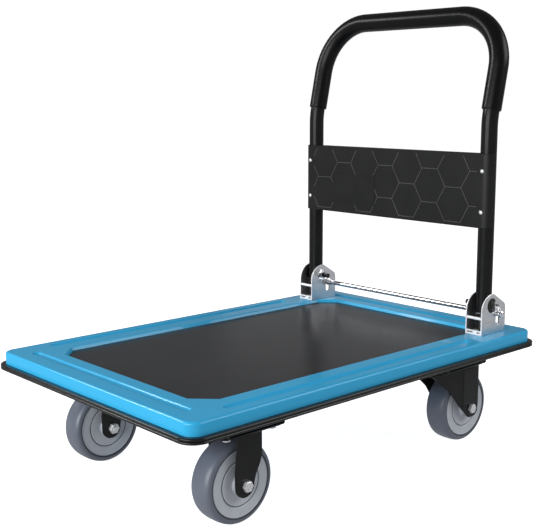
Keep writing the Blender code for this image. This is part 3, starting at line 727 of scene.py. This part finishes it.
def make_pivot(side, word):
    """The bolt a leg turns on: a keyed bush in the outer plate, and a locknut and washer inside."""
    spot, centre = (PIVOT_Y, PIVOT_Z), (0, PIVOT_Y, PIVOT_Z)
    inner, outer = (side * x for x in BRACKET_X)
    bore = polygon(spot, PIVOT_BOLT_RADIUS + GAP, 24)
    bush_x = ordered(side * (HANDLE_X + TUBE_RADIUS + 0.0006), outer - side * 0.0006)
    bush = plate(kidney(0), "X", *bush_x, holes=[bore], bevel=0.0004)
    piece(f"{word}_pivot_bushing", bush, NYLON, CHASSIS, "nylon", f"{word}_pivot_bush")

    head = outer - side * 0.0003
    end = inner - side * PIVOT_STUB
    shank = [(0, end), (0.0043, end), (PIVOT_BOLT_RADIUS, end + side * 0.0010)]
    shank += [(PIVOT_BOLT_RADIUS, head), (0, head)]
    pin, bolt = turned(shank, centre, 40), f"{word}_pivot_bolt"
    piece(f"{word}_pivot_pin", pin, BLACK_STEEL, CHASSIS, "black_steel", bolt, smooth=50)
    dome = ((0, 0), (0.0085, 0), (0.0080, 0.0016), (0.0060, 0.0026), (0.0030, 0.0031), (0, 0.0032))
    cap = [(radius, head + side * along) for radius, along in dome]
    piece(f"{word}_pivot_cap", turned(cap, centre, 40), NYLON, CHASSIS, "nylon", smooth=50)

    face = inner - side * 0.0003
    hexagon, nut_x = polygon(spot, 0.0095, 6, 30), ordered(face, inner - side * 0.0078)
    nut = plate(hexagon, "X", *nut_x, holes=[bore], bevel=0.0009)
    washer = washer_mesh(centre, 0.0054, 0.0125, face, inner - side * 0.0015, 40, "X")
    bm = joined(nut, washer)
    piece(f"{word}_pivot_locknut", bm, ROD_CHROME, CHASSIS, "chrome", f"{word}_pivot_nut")


def make_foot_seat(side, word):
    """The dark block under the tube's foot. Its top is hollow, to clear the foot as it swings."""
    radius, steps, soft, low = 0.014, 40, 0.0006, BRACKET_FLOOR
    swing = math.hypot(TUBE_RADIUS, TUBE_FOOT) + 0.0006
    spot = Vector((side * HANDLE_X, PIVOT_Y, 0))

    def ring(reach, height=None):
        loop = []
        for step in range(steps):
            angle = 2 * math.pi * step / steps
            out = Vector((math.cos(angle), math.sin(angle), 0)) * reach
            hollow = PIVOT_Z - math.sqrt(swing**2 - out.y**2)
            loop.append(spot + out + Vector((0, 0, height or hollow)))
        return loop

    loops = [ring(radius - soft, low), ring(radius, low + soft)]
    loops += [ring(radius * part) for part in (1, 0.75, 0.5, 0.25)]
    piece(f"{word}_foot_block", skin(loops), NYLON, CHASSIS, "nylon", f"{word}_foot_seat")


def make_lock_rod():
    centre = (0, ROD_Y, ROD_Z)
    end = [(0, 0), (0.0030, 0.0002), (0.0055, 0.0009), (0.0069, 0.0022)]
    end += [(0.0070, 0.0036), (ROD_RADIUS, 0.0038)]
    half = [(radius, ROD_HALF - below) for radius, below in end]
    piece("lock_rod_bar", turned(mirrored(half), centre, 40), ROD_CHROME, ROD, "chrome", "lock_rod")
    for side, word in SIDES:
        low, high = side * (BRACKET_X[0] - 0.0135), side * (BRACKET_X[0] - 0.0015)
        ring = [(0.0053, low), (0.0070, low), (0.0079, low + side * 0.001), (0.0079, high), (0.0053, high)]
        collar = turned(softened(ring, 0.0004), centre, 40)
        piece(f"{word}_rod_ring", collar, ROD_CHROME, ROD, "chrome", f"{word}_rod_collar")


def make_spring(side, word):
    """A wire coil from the bracket's lug down to the rod, with a hook at each end."""
    x = side * (BRACKET_X[1] + 0.0056)
    top = Vector((x, LUG_Y, PIVOT_Z - 0.0005))
    rod = Vector((x, ROD_Y, ROD_Z))
    heading = (rod - top).normalized()
    across = Vector((1, 0, 0))
    other = heading.cross(across).normalized()
    radius, wire, turns, steps = 0.0032, 0.00085, 4, 20
    first = top + heading * 0.0042
    last = rod - heading * (ROD_RADIUS + 0.0012)
    path = [
        top + across * side * 0.0020 - heading * 0.0022,
        top + across * side * 0.0026,
        top + heading * 0.0022 + across * radius,
    ]
    count = turns * steps
    for step in range(count + 1):
        angle = 2 * math.pi * turns * step / count
        spot = first.lerp(last, step / count)
        path.append(spot + radius * (math.cos(angle) * across + math.sin(angle) * other))
    hook_radius = ROD_RADIUS + wire + 0.0001
    hook_centre = rod + across * side * 0.0006
    for step in range(9):
        angle = math.radians(25 + 155 * step / 8)
        path.append(hook_centre + hook_radius * (math.sin(angle) * other - math.cos(angle) * heading))
    bm = sweep(path, [wire] * len(path), 10)
    coil = piece(f"{word}_coil_spring", bm, ROD_CHROME, None, "chrome", f"{word}_spring", weighted=False)
    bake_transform(coil)


# ---- handle


def leg_path(start):
    """The middle line of the right leg from a height up to the end of its corner."""
    bend_steps, corner_steps = 8, 20
    lean = Vector((0, math.sin(BEND_ANGLE), math.cos(BEND_ANGLE)))
    points = []
    if start < BEND_START:
        rise = BEND_START - start
        points = [Vector((HANDLE_X, PIVOT_Y, start + rise * part / 12)) for part in range(12)]
    for step in range(bend_steps + 1):
        angle = BEND_ANGLE * step / bend_steps
        y = PIVOT_Y + BEND_RADIUS * (1 - math.cos(angle))
        points.append(Vector((HANDLE_X, y, BEND_START + BEND_RADIUS * math.sin(angle))))
    end_of_bend = points[-1]
    rise = (TOP_Z - end_of_bend.z) / lean.z - CORNER_RADIUS
    for part in range(1, 6):
        points.append(end_of_bend + rise * lean * part / 5)
    corner_start = points[-1]
    for step in range(1, corner_steps + 1):
        angle = math.pi / 2 * step / corner_steps
        inward = Vector((-CORNER_RADIUS * (1 - math.cos(angle)), 0, 0))
        points.append(corner_start + inward + CORNER_RADIUS * math.sin(angle) * lean)
    return points


def both_legs(right):
    """The leg, the top bar and the other leg as one path."""
    left = [Vector((-point.x, point.y, point.z)) for point in reversed(right)]
    bar = [right[-1].lerp(left[0], part / 6) for part in range(1, 6)]
    return right + bar + left


def make_tube():
    foot, soft = PIVOT_Z - TUBE_FOOT, 0.0005
    path = both_legs([Vector((HANDLE_X, PIVOT_Y, foot))] + leg_path(foot + 0.0004))
    radii = [TUBE_RADIUS - soft] + [TUBE_RADIUS] * (len(path) - 2) + [TUBE_RADIUS - soft]
    piece("handle_tube_bend", sweep(path, radii, 40), TUBE, HANDLE, "tube_gloss", "handle_tube")


def make_grip():
    """The sleeve over the top of the handle. Its lower ends are rounded over onto the tube."""
    angle = math.asin((GRIP_START - BEND_START) / BEND_RADIUS)
    tangent = Vector((0, math.sin(angle), math.cos(angle)))
    first = Vector((HANDLE_X, PIVOT_Y + BEND_RADIUS * (1 - math.cos(angle)), GRIP_START))
    ends = [(0, 0.0163), (0, 0.0178), (0.0004, 0.0187), (0.0012, 0.0192), (0.0022, GRIP_RADIUS)]
    right = [first + tangent * (along + 0.00001 * i) for i, (along, _) in enumerate(ends)]
    right += [point for point in leg_path(BEND_START) if point.z > GRIP_START + 0.004]
    path = both_legs(right)
    radii = [radius for _, radius in ends]
    radii += [GRIP_RADIUS] * (len(path) - 2 * len(ends)) + radii[::-1]
    piece("handle_grip_sleeve", sweep(path, radii, 48), GRIP, HANDLE, "grip", "handle_grip", smooth=60)


def hexagon_lines(side_length, start, width, low, high, relief):
    """Thin raised lines of a flat-topped hexagon grid about start, clipped to a rectangle in X and Z."""
    bm = bmesh.new()
    height = side_length * math.sqrt(3)
    seen = set()
    for column in range(-6, 7):
        for row in range(-4, 5):
            centre = Vector(start) + Vector((column * 1.5 * side_length, (row + column % 2 / 2) * height))
            corners = [Vector(point) for point in polygon(centre, side_length, 6)]
            for first, last in zip(corners, corners[1:] + corners[:1]):
                key = frozenset(tuple(round(value, 4) for value in end) for end in (first, last))
                if key in seen:
                    continue
                seen.add(key)
                clipped = clip(first, last, low, high)
                if clipped:
                    add_line(bm, *clipped, width, relief)
    return bm


def clip(first, last, low, high):
    """The part of a line inside a rectangle, or None."""
    start, end = 0.0, 1.0
    heading = last - first
    for axis in (0, 1):
        if abs(heading[axis]) < 1e-9:
            if not low[axis] < first[axis] < high[axis]:
                return None
            continue
        a = (low[axis] - first[axis]) / heading[axis]
        b = (high[axis] - first[axis]) / heading[axis]
        start, end = max(start, min(a, b)), min(end, max(a, b))
    if end - start < 0.02:
        return None
    return first + heading * start, first + heading * end


def add_line(bm, first, last, width, relief):
    """A raised line with sloping sides, from just behind Y = 0 to the relief in front of it."""
    along = (last - first).normalized()
    across = Vector((-along.y, along.x)) * width / 2
    base = [first + across, last + across, last - across, first - across]
    crest = [first + across * 0.4, last + across * 0.4, last - across * 0.4, first - across * 0.4]
    rows = []
    for points, depth in ((base, 0.0002), (crest, -relief)):
        rows.append([bm.verts.new((point.x, depth, point.y)) for point in points])
    bridge(bm, *rows)
    bm.faces.new(rows[0])
    bm.faces.new(rows[1])


def make_panel():
    """A moulded sheet that wraps both tubes from the front, with a grid of ribs behind it."""
    front = PIVOT_Y - PANEL_REACH
    inner = TUBE_RADIUS + 0.0004
    wall = HANDLE_X - inner
    skin_back = front + 0.0030
    left, right = (-HANDLE_X, PIVOT_Y), (HANDLE_X, PIVOT_Y)
    outline = arc(left, PANEL_REACH, 186, 270, 16) + arc(right, PANEL_REACH, 270, 354, 16)
    outline += arc(right, inner, 354, 205, 26)
    outline += [(wall - 0.002, skin_back), (-wall + 0.002, skin_back)]
    outline += arc(left, inner, 335, 186, 26)
    parts = [plate(outline, "Z", *PANEL_Z, bevel=0.0008)]

    bottom, top = PANEL_Z
    back, near = PIVOT_Y + PANEL_BACK, skin_back - 0.0006
    rib, bevel, columns, rows = 0.0022, 0.0004, 6, 4
    low_x, high_x = -wall + 0.0003, wall - 0.0003
    for column in range(columns + 1):
        x = low_x + (high_x - low_x - rib) * column / columns
        parts.append(block((x, near, bottom + 0.0009), (x + rib, back, top - 0.0009), bevel))
    for row in range(rows + 1):
        z = bottom + 0.0004 + (top - bottom - rib - 0.0008) * row / rows
        parts.append(block((low_x + 0.0004, near, z), (high_x - 0.0004, back - 0.0004, z + rib), bevel))
    piece("handle_panel_moulding", joined(*parts), PANEL, HANDLE, "panel", "handle_panel")

    middle = sum(PANEL_Z) / 2
    area_low, area_high = (-0.226, -0.067), (0.226, 0.067)
    # Real raised hexagon lines, coloured lighter as a painted highlight.
    lines = hexagon_lines(0.040, (-0.012, 0.0035), 0.0018, area_low, area_high, relief=0.0003)
    bmesh.ops.translate(lines, verts=lines.verts, vec=(0, front, middle))
    piece("panel_hexagon_lines", lines, HEXLINE_HIGHLIGHT, HANDLE, "panel")
    (low_x, low_z), (high_x, high_z) = PLAIN_FIELD
    field = block((low_x, front - 0.0006, middle + low_z), (high_x, front + 0.0002, middle + high_z), 0.0003)
    piece("panel_plain_field", field, PANEL, HANDLE, "panel")


def make_panel_screws():
    head = [(0, -0.0021), (0.0016, -0.0021), (0.0030, -0.0018), (0.0041, -0.0008), (0.0044, 0)]
    profile = head + [(0.0020, 0), (0.0020, 0.0105), (0, 0.0105)]
    for side, word in SIDES:
        for place, z in zip(("lower", "upper"), SCREW_Z):
            slot = block((-0.0003, -0.0026, -0.0022), (0.0003, 0.0026, -0.0017), 0.0001)
            bm = joined(turned(profile, (0, 0, 0), 28, "Z"), slot)
            stand = Matrix.Translation((side * HANDLE_X, PIVOT_Y - PANEL_REACH - 0.0003, z))
            bmesh.ops.transform(bm, matrix=stand @ Matrix.Rotation(-math.pi / 2, 4, "X"), verts=bm.verts)
            name = f"{word}_{place}_screw"
            piece(f"{name}_head", bm, ZINC, HANDLE, "zinc", name)


# ---- casters


def tyre_profile():
    seat = DISC_RADIUS - 0.0012
    half = [(seat, 0.0214), (seat + 0.0006, 0.0228), (0.0606, 0.0236), (0.0618, TYRE_HALF)]
    half += [(0.0645, 0.0233), (0.0668, 0.0222), (0.0687, 0.0203), (0.0700, 0.0178), (0.0708, 0.0145)]
    half += [(0.0713, 0.0105), (WHEEL_RADIUS, 0.0060), (WHEEL_RADIUS, 0.0020)]
    return mirrored(half)


def fine_rings(first, last, along):
    """Turned rings, 0.3 mm high and 1.8 mm apart, as a part of a profile."""
    count = math.ceil((last - first) / 0.0018)
    radii = [first + 0.0018 * i for i in range(count)]
    return [point for r in radii for point in ((r, along), (r + 0.0009, along + 0.0003))]


def disc_profile():
    """The wheel's side: a raised rim, fine turned rings, a ring groove and a boss."""
    half = [(0.01035, 0.0322), (0.0150, 0.0322), (0.0157, 0.0316), (0.0165, 0.0240), (0.0185, 0.0222)]
    half += fine_rings(0.0195, 0.0365, 0.02205)
    half += [(0.0378, 0.0223), (0.0384, 0.0216), (0.0390, 0.0214)]
    half += [(0.0398, 0.0214), (0.0404, 0.0216), (0.0410, 0.0224)]
    half += fine_rings(0.0422, 0.0555, 0.0223)
    half += [(0.0564, 0.0227), (0.0570, 0.0231), (0.0578, 0.0231), (0.0582, 0.0226), (0.0582, 0.0214)]
    return mirrored(half)


# Profiles of the thin dark rings of painted shade in the disc's groove and in the seam between tyre and disc.
DISC_GROOVE_SHADE = ((0.0386, 0.02145), (0.0389, 0.02185), (0.0399, 0.02185), (0.0402, 0.02145))
TYRE_SEAM_SHADE = ((0.0588, 0.0215), (0.0588, 0.0229), (0.0606, 0.0237), (0.0612, 0.0237), (0.0612, 0.0215))


def make_wheel(word, x, axle_y):
    """A tyre on a disc. On both sides a dark ring of painted shade lies in the disc's groove and another in
    the seam at the tyre.
    """
    centre, steps, body = (x, axle_y, WHEEL_RADIUS), 96, f"{word}_wheel"
    tyre = turned(tyre_profile(), centre, steps)
    piece(f"{word}_rubber_tyre", tyre, TYRE, body, "tyre", f"{word}_tyre", smooth=60)
    disc = turned(disc_profile(), centre, steps)
    piece(f"{word}_wheel_disc", disc, DISC, body, "hub", f"{word}_hub", smooth=60)
    parts = []
    for side in (-1, 1):
        for ring in (DISC_GROOVE_SHADE, TYRE_SEAM_SHADE):
            parts.append(turned([(radius, side * along) for radius, along in ring], centre, steps))
    piece(f"{word}_wheel_painted_shade_rings", joined(*parts), PAINTED_GROOVE_SHADE, body, "hub")


def make_axle(word, x, axle_y, body):
    outward = 1 if x > 0 else -1
    face = FORK_INSIDE + FORK_SHEET + GAP
    spot = (axle_y, WHEEL_RADIUS)
    centre = (x, axle_y, WHEEL_RADIUS)
    head = ordered(x + outward * face, x + outward * (face + 0.0072))
    shank = [(0, face + 0.004), (0.0059, face + 0.004), (0.0059, -face - 0.0100)]
    shank += [(0.0050, -face - 0.0108), (0, -face - 0.0108)]
    shank = [(radius, outward * along) for radius, along in shank]
    parts = [hexagon_head(spot, 0.0099, "X", *head), turned(shank, centre, 32)]
    piece(f"{word}_axle_bolt_head", joined(*parts), ZINC, body, "zinc", f"{word}_axle_bolt")
    nut = ordered(x - outward * face, x - outward * (face + 0.0085))
    bm = plate(polygon(spot, 0.0104, 6), "X", *nut, holes=[polygon(spot, AXLE_BORE, 24)], bevel=0.0009)
    piece(f"{word}_axle_locknut", bm, ZINC, body, "zinc", f"{word}_axle_nut")
    sleeve = turned(mirrored([(0.0063, 0.0331), (0.0102, 0.0331)]), centre, 40)
    piece(f"{word}_axle_tube", sleeve, ZINC, body, "zinc", f"{word}_axle_sleeve")


def fixed_leg(axle_y):
    """An upright leg seen from the side, with a round eye at the axle and a curved rear edge."""
    top = PLATE_TOP - 0.0015
    eye = arc((axle_y - 0.002, WHEEL_RADIUS), 0.020, 178, 365, 24)
    front = [(axle_y - 0.0145, top), (axle_y - 0.0190, WHEEL_RADIUS + 0.055)]
    front.append((axle_y - 0.0225, WHEEL_RADIUS + 0.026))
    rear = []
    low = Vector((axle_y + 0.0179, WHEEL_RADIUS + 0.0020))
    high = Vector((axle_y + 0.0350, WHEEL_RADIUS + 0.052))
    pull_low, pull_high = low + Vector((0.0035, 0.020)), high - Vector((0, 0.020))
    for step in range(1, 15):
        t = step / 15
        near = (1 - t) ** 3 * low + 3 * t * (1 - t) ** 2 * pull_low
        rear.append(tuple(near + 3 * t * t * (1 - t) * pull_high + t**3 * high))
    return front + eye + rear + [tuple(high), (axle_y + 0.0350, top)]


def swivel_leg(axle_y):
    """A trailing leg seen from the side."""
    top = FORK_TOP - 0.0015 - WHEEL_RADIUS
    front, rear = SWIVEL_FORK_Y
    corners = [(front, top), (-0.061, 0.0446), (-0.037, 0.0146), (-0.0235, -0.0014)]
    corners += [(-0.0056, -0.0194), (0.0140, -0.0184), (0.0234, -0.0094), (rear, 0.0086), (rear, top)]
    outline = [(axle_y + y, WHEEL_RADIUS + z) for y, z in corners]
    return rounded(outline, [0, 0.02, 0.02, 0.015, 0.012, 0.010, 0.008, 0.010, 0])


def leg_pair(outline, x, axle_y, crease=None, slope=0.0):
    """Two legs. Forward of the crease they step in a little and lean in towards each other."""
    step, width = 0.0012, 0.0016
    bore = polygon((axle_y, WHEEL_RADIUS), AXLE_BORE, 24)
    legs = []
    for side in (-1, 1):
        span = ordered(x + side * FORK_INSIDE, x + side * (FORK_INSIDE + FORK_SHEET))
        leg = plate(outline, "X", *span, holes=[bore], bevel=0.0007)
        if crease is not None:
            for part in (0, 0.25, 0.5, 0.75, 1):
                geometry = leg.verts[:] + leg.edges[:] + leg.faces[:]
                cut = (0, crease - part * width, 0)
                bmesh.ops.bisect_plane(leg, geom=geometry, plane_co=cut, plane_no=(0, 1, 0), dist=1e-6)
            for vert in leg.verts:
                past = crease - vert.co.y
                if past > 0:
                    rise = min(past / width, 1)
                    vert.co.x -= side * (slope * past + step * rise * rise * (3 - 2 * rise))
        legs.append(leg)
    return legs


def plate_bolts(x, y):
    """The four bolts that hold a caster's top plate to its cross member."""
    parts = []
    under, reach_x, reach_y = PLATE_TOP - PLATE_SHEET, 0.040, 0.049
    for dx in (-reach_x, reach_x):
        for dy in (-reach_y, reach_y):
            spot = (x + dx, y + dy)
            parts.append(hexagon_head(spot, 0.0070, "Z", under - 0.0054, under - 0.0012, 30))
            parts.append(washer_mesh((*spot, under), 0.0030, 0.0088, -0.0013, -0.0001, 28, "Z"))
    return joined(*parts)


def top_plate(x, y):
    outline = [(x + px, y + py) for px, py, _ in corner_loop(PLATE_HALF, 0.008, 0)]
    return plate(outline, "Z", PLATE_TOP - PLATE_SHEET, PLATE_TOP, bevel=0.0007)


def make_fixed_caster(word, x):
    """A caster with upright legs and its top plate in one stamping, with a small fillet in each bend."""
    under, outside, radius = PLATE_TOP - PLATE_SHEET, FORK_INSIDE + FORK_SHEET, 0.004
    parts = [top_plate(x, FRONT_PLATE_Y), *leg_pair(fixed_leg(FRONT_AXLE_Y), x, FRONT_AXLE_Y)]
    for side in (-1, 1):
        centre = (x + side * (outside + radius), under - radius)
        first, last = (90, 180) if side > 0 else (0, 90)
        fillet = arc(centre, radius, first, last, 6) + [(x + side * (outside - 0.0004), under + 0.0004)]
        parts.append(plate(fillet, "Y", FRONT_AXLE_Y - 0.0135, FRONT_AXLE_Y + 0.0343, bevel=0.0003))
    name = f"{word}_fork"
    piece(f"{name}_stamping", joined(*parts), BLACK_STEEL, CHASSIS, "black_steel", name)
    piece(f"{word}_plate_bolts", plate_bolts(x, FRONT_PLATE_Y), ZINC, CHASSIS, "zinc")
    make_axle(word, x, FRONT_AXLE_Y, CHASSIS)
    make_wheel(word, x, FRONT_AXLE_Y)


def make_swivel_caster(word, x):
    """A caster whose fork turns on a kingpin under its top plate."""
    body = f"{word}_swivel"
    race = [(0.007, 0.0002), (0.0335, 0.0002), (0.0350, -0.0012), (0.0350, -0.0022)]
    race += [(0.0325, -0.0036), (0.0325, -0.0046), (0.0315, -0.0057), (0.007, -0.0057)]
    bm = joined(top_plate(x, SWIVEL_Y), turned(race, (x, SWIVEL_Y, PLATE_TOP - PLATE_SHEET), 64, "Z"))
    piece(f"{word}_mounting_plate", bm, BLACK_STEEL, CHASSIS, "black_steel", f"{word}_top_plate")
    piece(f"{word}_plate_bolts", plate_bolts(x, SWIVEL_Y), BLACK_STEEL, CHASSIS, "black_steel")
    head = FORK_TOP - FORK_SHEET - GAP
    pin = [(0, 0.166), (0.0059, 0.166), (0.0059, head), (0.0112, head), (0.0112, head - 0.0025)]
    pin += [(0.0090, head - 0.0042), (0.0050, head - 0.0050), (0, head - 0.0052)]
    bm = turned(pin, (x, SWIVEL_Y, 0), 36, "Z")
    piece(f"{word}_kingpin_rivet", bm, ZINC, CHASSIS, "zinc", f"{word}_kingpin", smooth=50)
    half_x = FORK_INSIDE + FORK_SHEET
    front, rear = (REAR_AXLE_Y + y for y in SWIVEL_FORK_Y)
    slope, crease = 0.11, REAR_AXLE_Y - 0.024
    narrow = half_x - slope * (crease - front)
    crown = [(x - half_x, rear), (x - half_x, crease), (x - narrow, front)]
    crown += [(x + narrow, front), (x + half_x, crease), (x + half_x, rear)]
    crown = rounded(crown, [0.004, 0.01, 0.006, 0.006, 0.01, 0.004])
    hole = polygon((x, SWIVEL_Y), 0.0063, 24)
    parts = [plate(crown, "Z", FORK_TOP - FORK_SHEET, FORK_TOP, holes=[hole], bevel=0.0008)]
    parts += leg_pair(swivel_leg(REAR_AXLE_Y), x, REAR_AXLE_Y, crease, slope)
    name = f"{word}_fork"
    piece(f"{name}_stamping", joined(*parts), BLACK_STEEL, body, "black_steel", name)
    make_axle(word, x, REAR_AXLE_Y, body)
    make_wheel(word, x, REAR_AXLE_Y)


# ---- camera, floor and light

CAMERA = (1.3951, -1.2906, 0.7003)
AZIMUTH, ELEVATION, ROLL = (math.radians(angle) for angle in (47.865, 9.626, -0.171))
LENS = 67.26
LIGHT_TARGET = (0, 0, 0.2)
# Each light's name, place, width and height, and power in watts
LIGHTS = (
    ("front_softbox", (0.3, -3.4, 1.1), (3.2, 1.8), 125),
    ("rear_right_softbox", (2.4, 2.0, 2.2), (2.4, 1.8), 64),
    ("left_softbox", (-2.1, -1.5, 1.8), (0.9, 0.7), 30),
    ("rear_left_softbox", (-2.5, 2.7, 0.85), (1.2, 0.6), 0.5),
)


def make_camera():
    """The camera that shows the cart as the photo does, with a slight roll."""
    level = math.cos(ELEVATION)
    back = Vector((math.sin(AZIMUTH) * level, -math.cos(AZIMUTH) * level, math.sin(ELEVATION)))
    right = (-back).cross(Vector((0, 0, 1))).normalized()
    up = right.cross(-back)
    tilted_right = right * math.cos(ROLL) + up * math.sin(ROLL)
    tilted_up = -right * math.sin(ROLL) + up * math.cos(ROLL)
    camera = shown("camera", bpy.data.cameras.new("camera"))
    camera.data.lens = LENS
    camera.data.clip_end = 100
    turn = Matrix((tilted_right, tilted_up, back)).transposed().to_4x4()
    camera.matrix_world = Matrix.Translation(CAMERA) @ turn
    bpy.context.scene.camera = camera


def make_light(name, place, size, power):
    light = bpy.data.lights.new(name, "AREA")
    light.shape = "RECTANGLE"
    light.size, light.size_y = size
    light.energy = power
    obj = shown(name, light)
    heading = Vector(LIGHT_TARGET) - Vector(place)
    obj.matrix_world = Matrix.Translation(place) @ heading.to_track_quat("-Z", "Y").to_matrix().to_4x4()


def make_stage():
    """A white floor that no reflection or bounced light shows, the room and the lights."""
    bm = bmesh.new()
    bmesh.ops.create_grid(bm, x_segments=8, y_segments=8, size=30)
    floor = shown("studio_floor", as_mesh("studio_floor", bm))
    floor.data.materials.append(FLOOR)
    floor.location.z = -0.0002
    floor.visible_glossy = False
    floor.visible_diffuse = False
    make_world()
    for light in LIGHTS:
        make_light(*light)
    bpy.context.scene.view_settings.view_transform = "Standard"


def make_world():
    """A dim room, lighter below as over a white floor, in front of a plain white background."""
    world = bpy.data.worlds.new("studio")
    world.use_nodes = True
    tree = world.node_tree
    room = tree.nodes["Background"]
    room.inputs["Color"].default_value = (0.95, 0.97, 1.0, 1)
    direction = tree.nodes.new("ShaderNodeSeparateXYZ")
    tree.links.new(tree.nodes.new("ShaderNodeTexCoord").outputs["Generated"], direction.inputs[0])
    strength = tree.nodes.new("ShaderNodeMapRange")
    for name, value in (("From Min", -0.1), ("From Max", 0.05), ("To Min", 0.50), ("To Max", 0.20)):
        strength.inputs[name].default_value = value
    tree.links.new(direction.outputs["Z"], strength.inputs["Value"])
    tree.links.new(strength.outputs["Result"], room.inputs["Strength"])
    backdrop = tree.nodes.new("ShaderNodeBackground")
    backdrop.inputs["Color"].default_value = (1, 1, 1, 1)
    mix = tree.nodes.new("ShaderNodeMixShader")
    path = tree.nodes.new("ShaderNodeLightPath")
    tree.links.new(path.outputs["Is Camera Ray"], mix.inputs["Fac"])
    tree.links.new(room.outputs[0], mix.inputs[1])
    tree.links.new(backdrop.outputs[0], mix.inputs[2])
    tree.links.new(mix.outputs[0], tree.nodes["World Output"].inputs["Surface"])
    bpy.context.scene.world = world


make_pan()
make_mat()
make_bumper()
make_cross_member("front_cross_member", FRONT_PLATE_Y)
make_cross_member("rear_cross_member", SWIVEL_Y)
for side, word in SIDES:
    make_bracket(side, word)
    make_bracket_bolts(side, word)
    make_pivot(side, word)
    make_foot_seat(side, word)
    make_spring(side, word)
    make_fixed_caster(f"front_{word}", side * CASTER_X)
    make_swivel_caster(f"rear_{word}", side * CASTER_X)
make_lock_rod()
make_tube()
make_grip()
make_panel()
make_panel_screws()
make_camera()
make_stage()
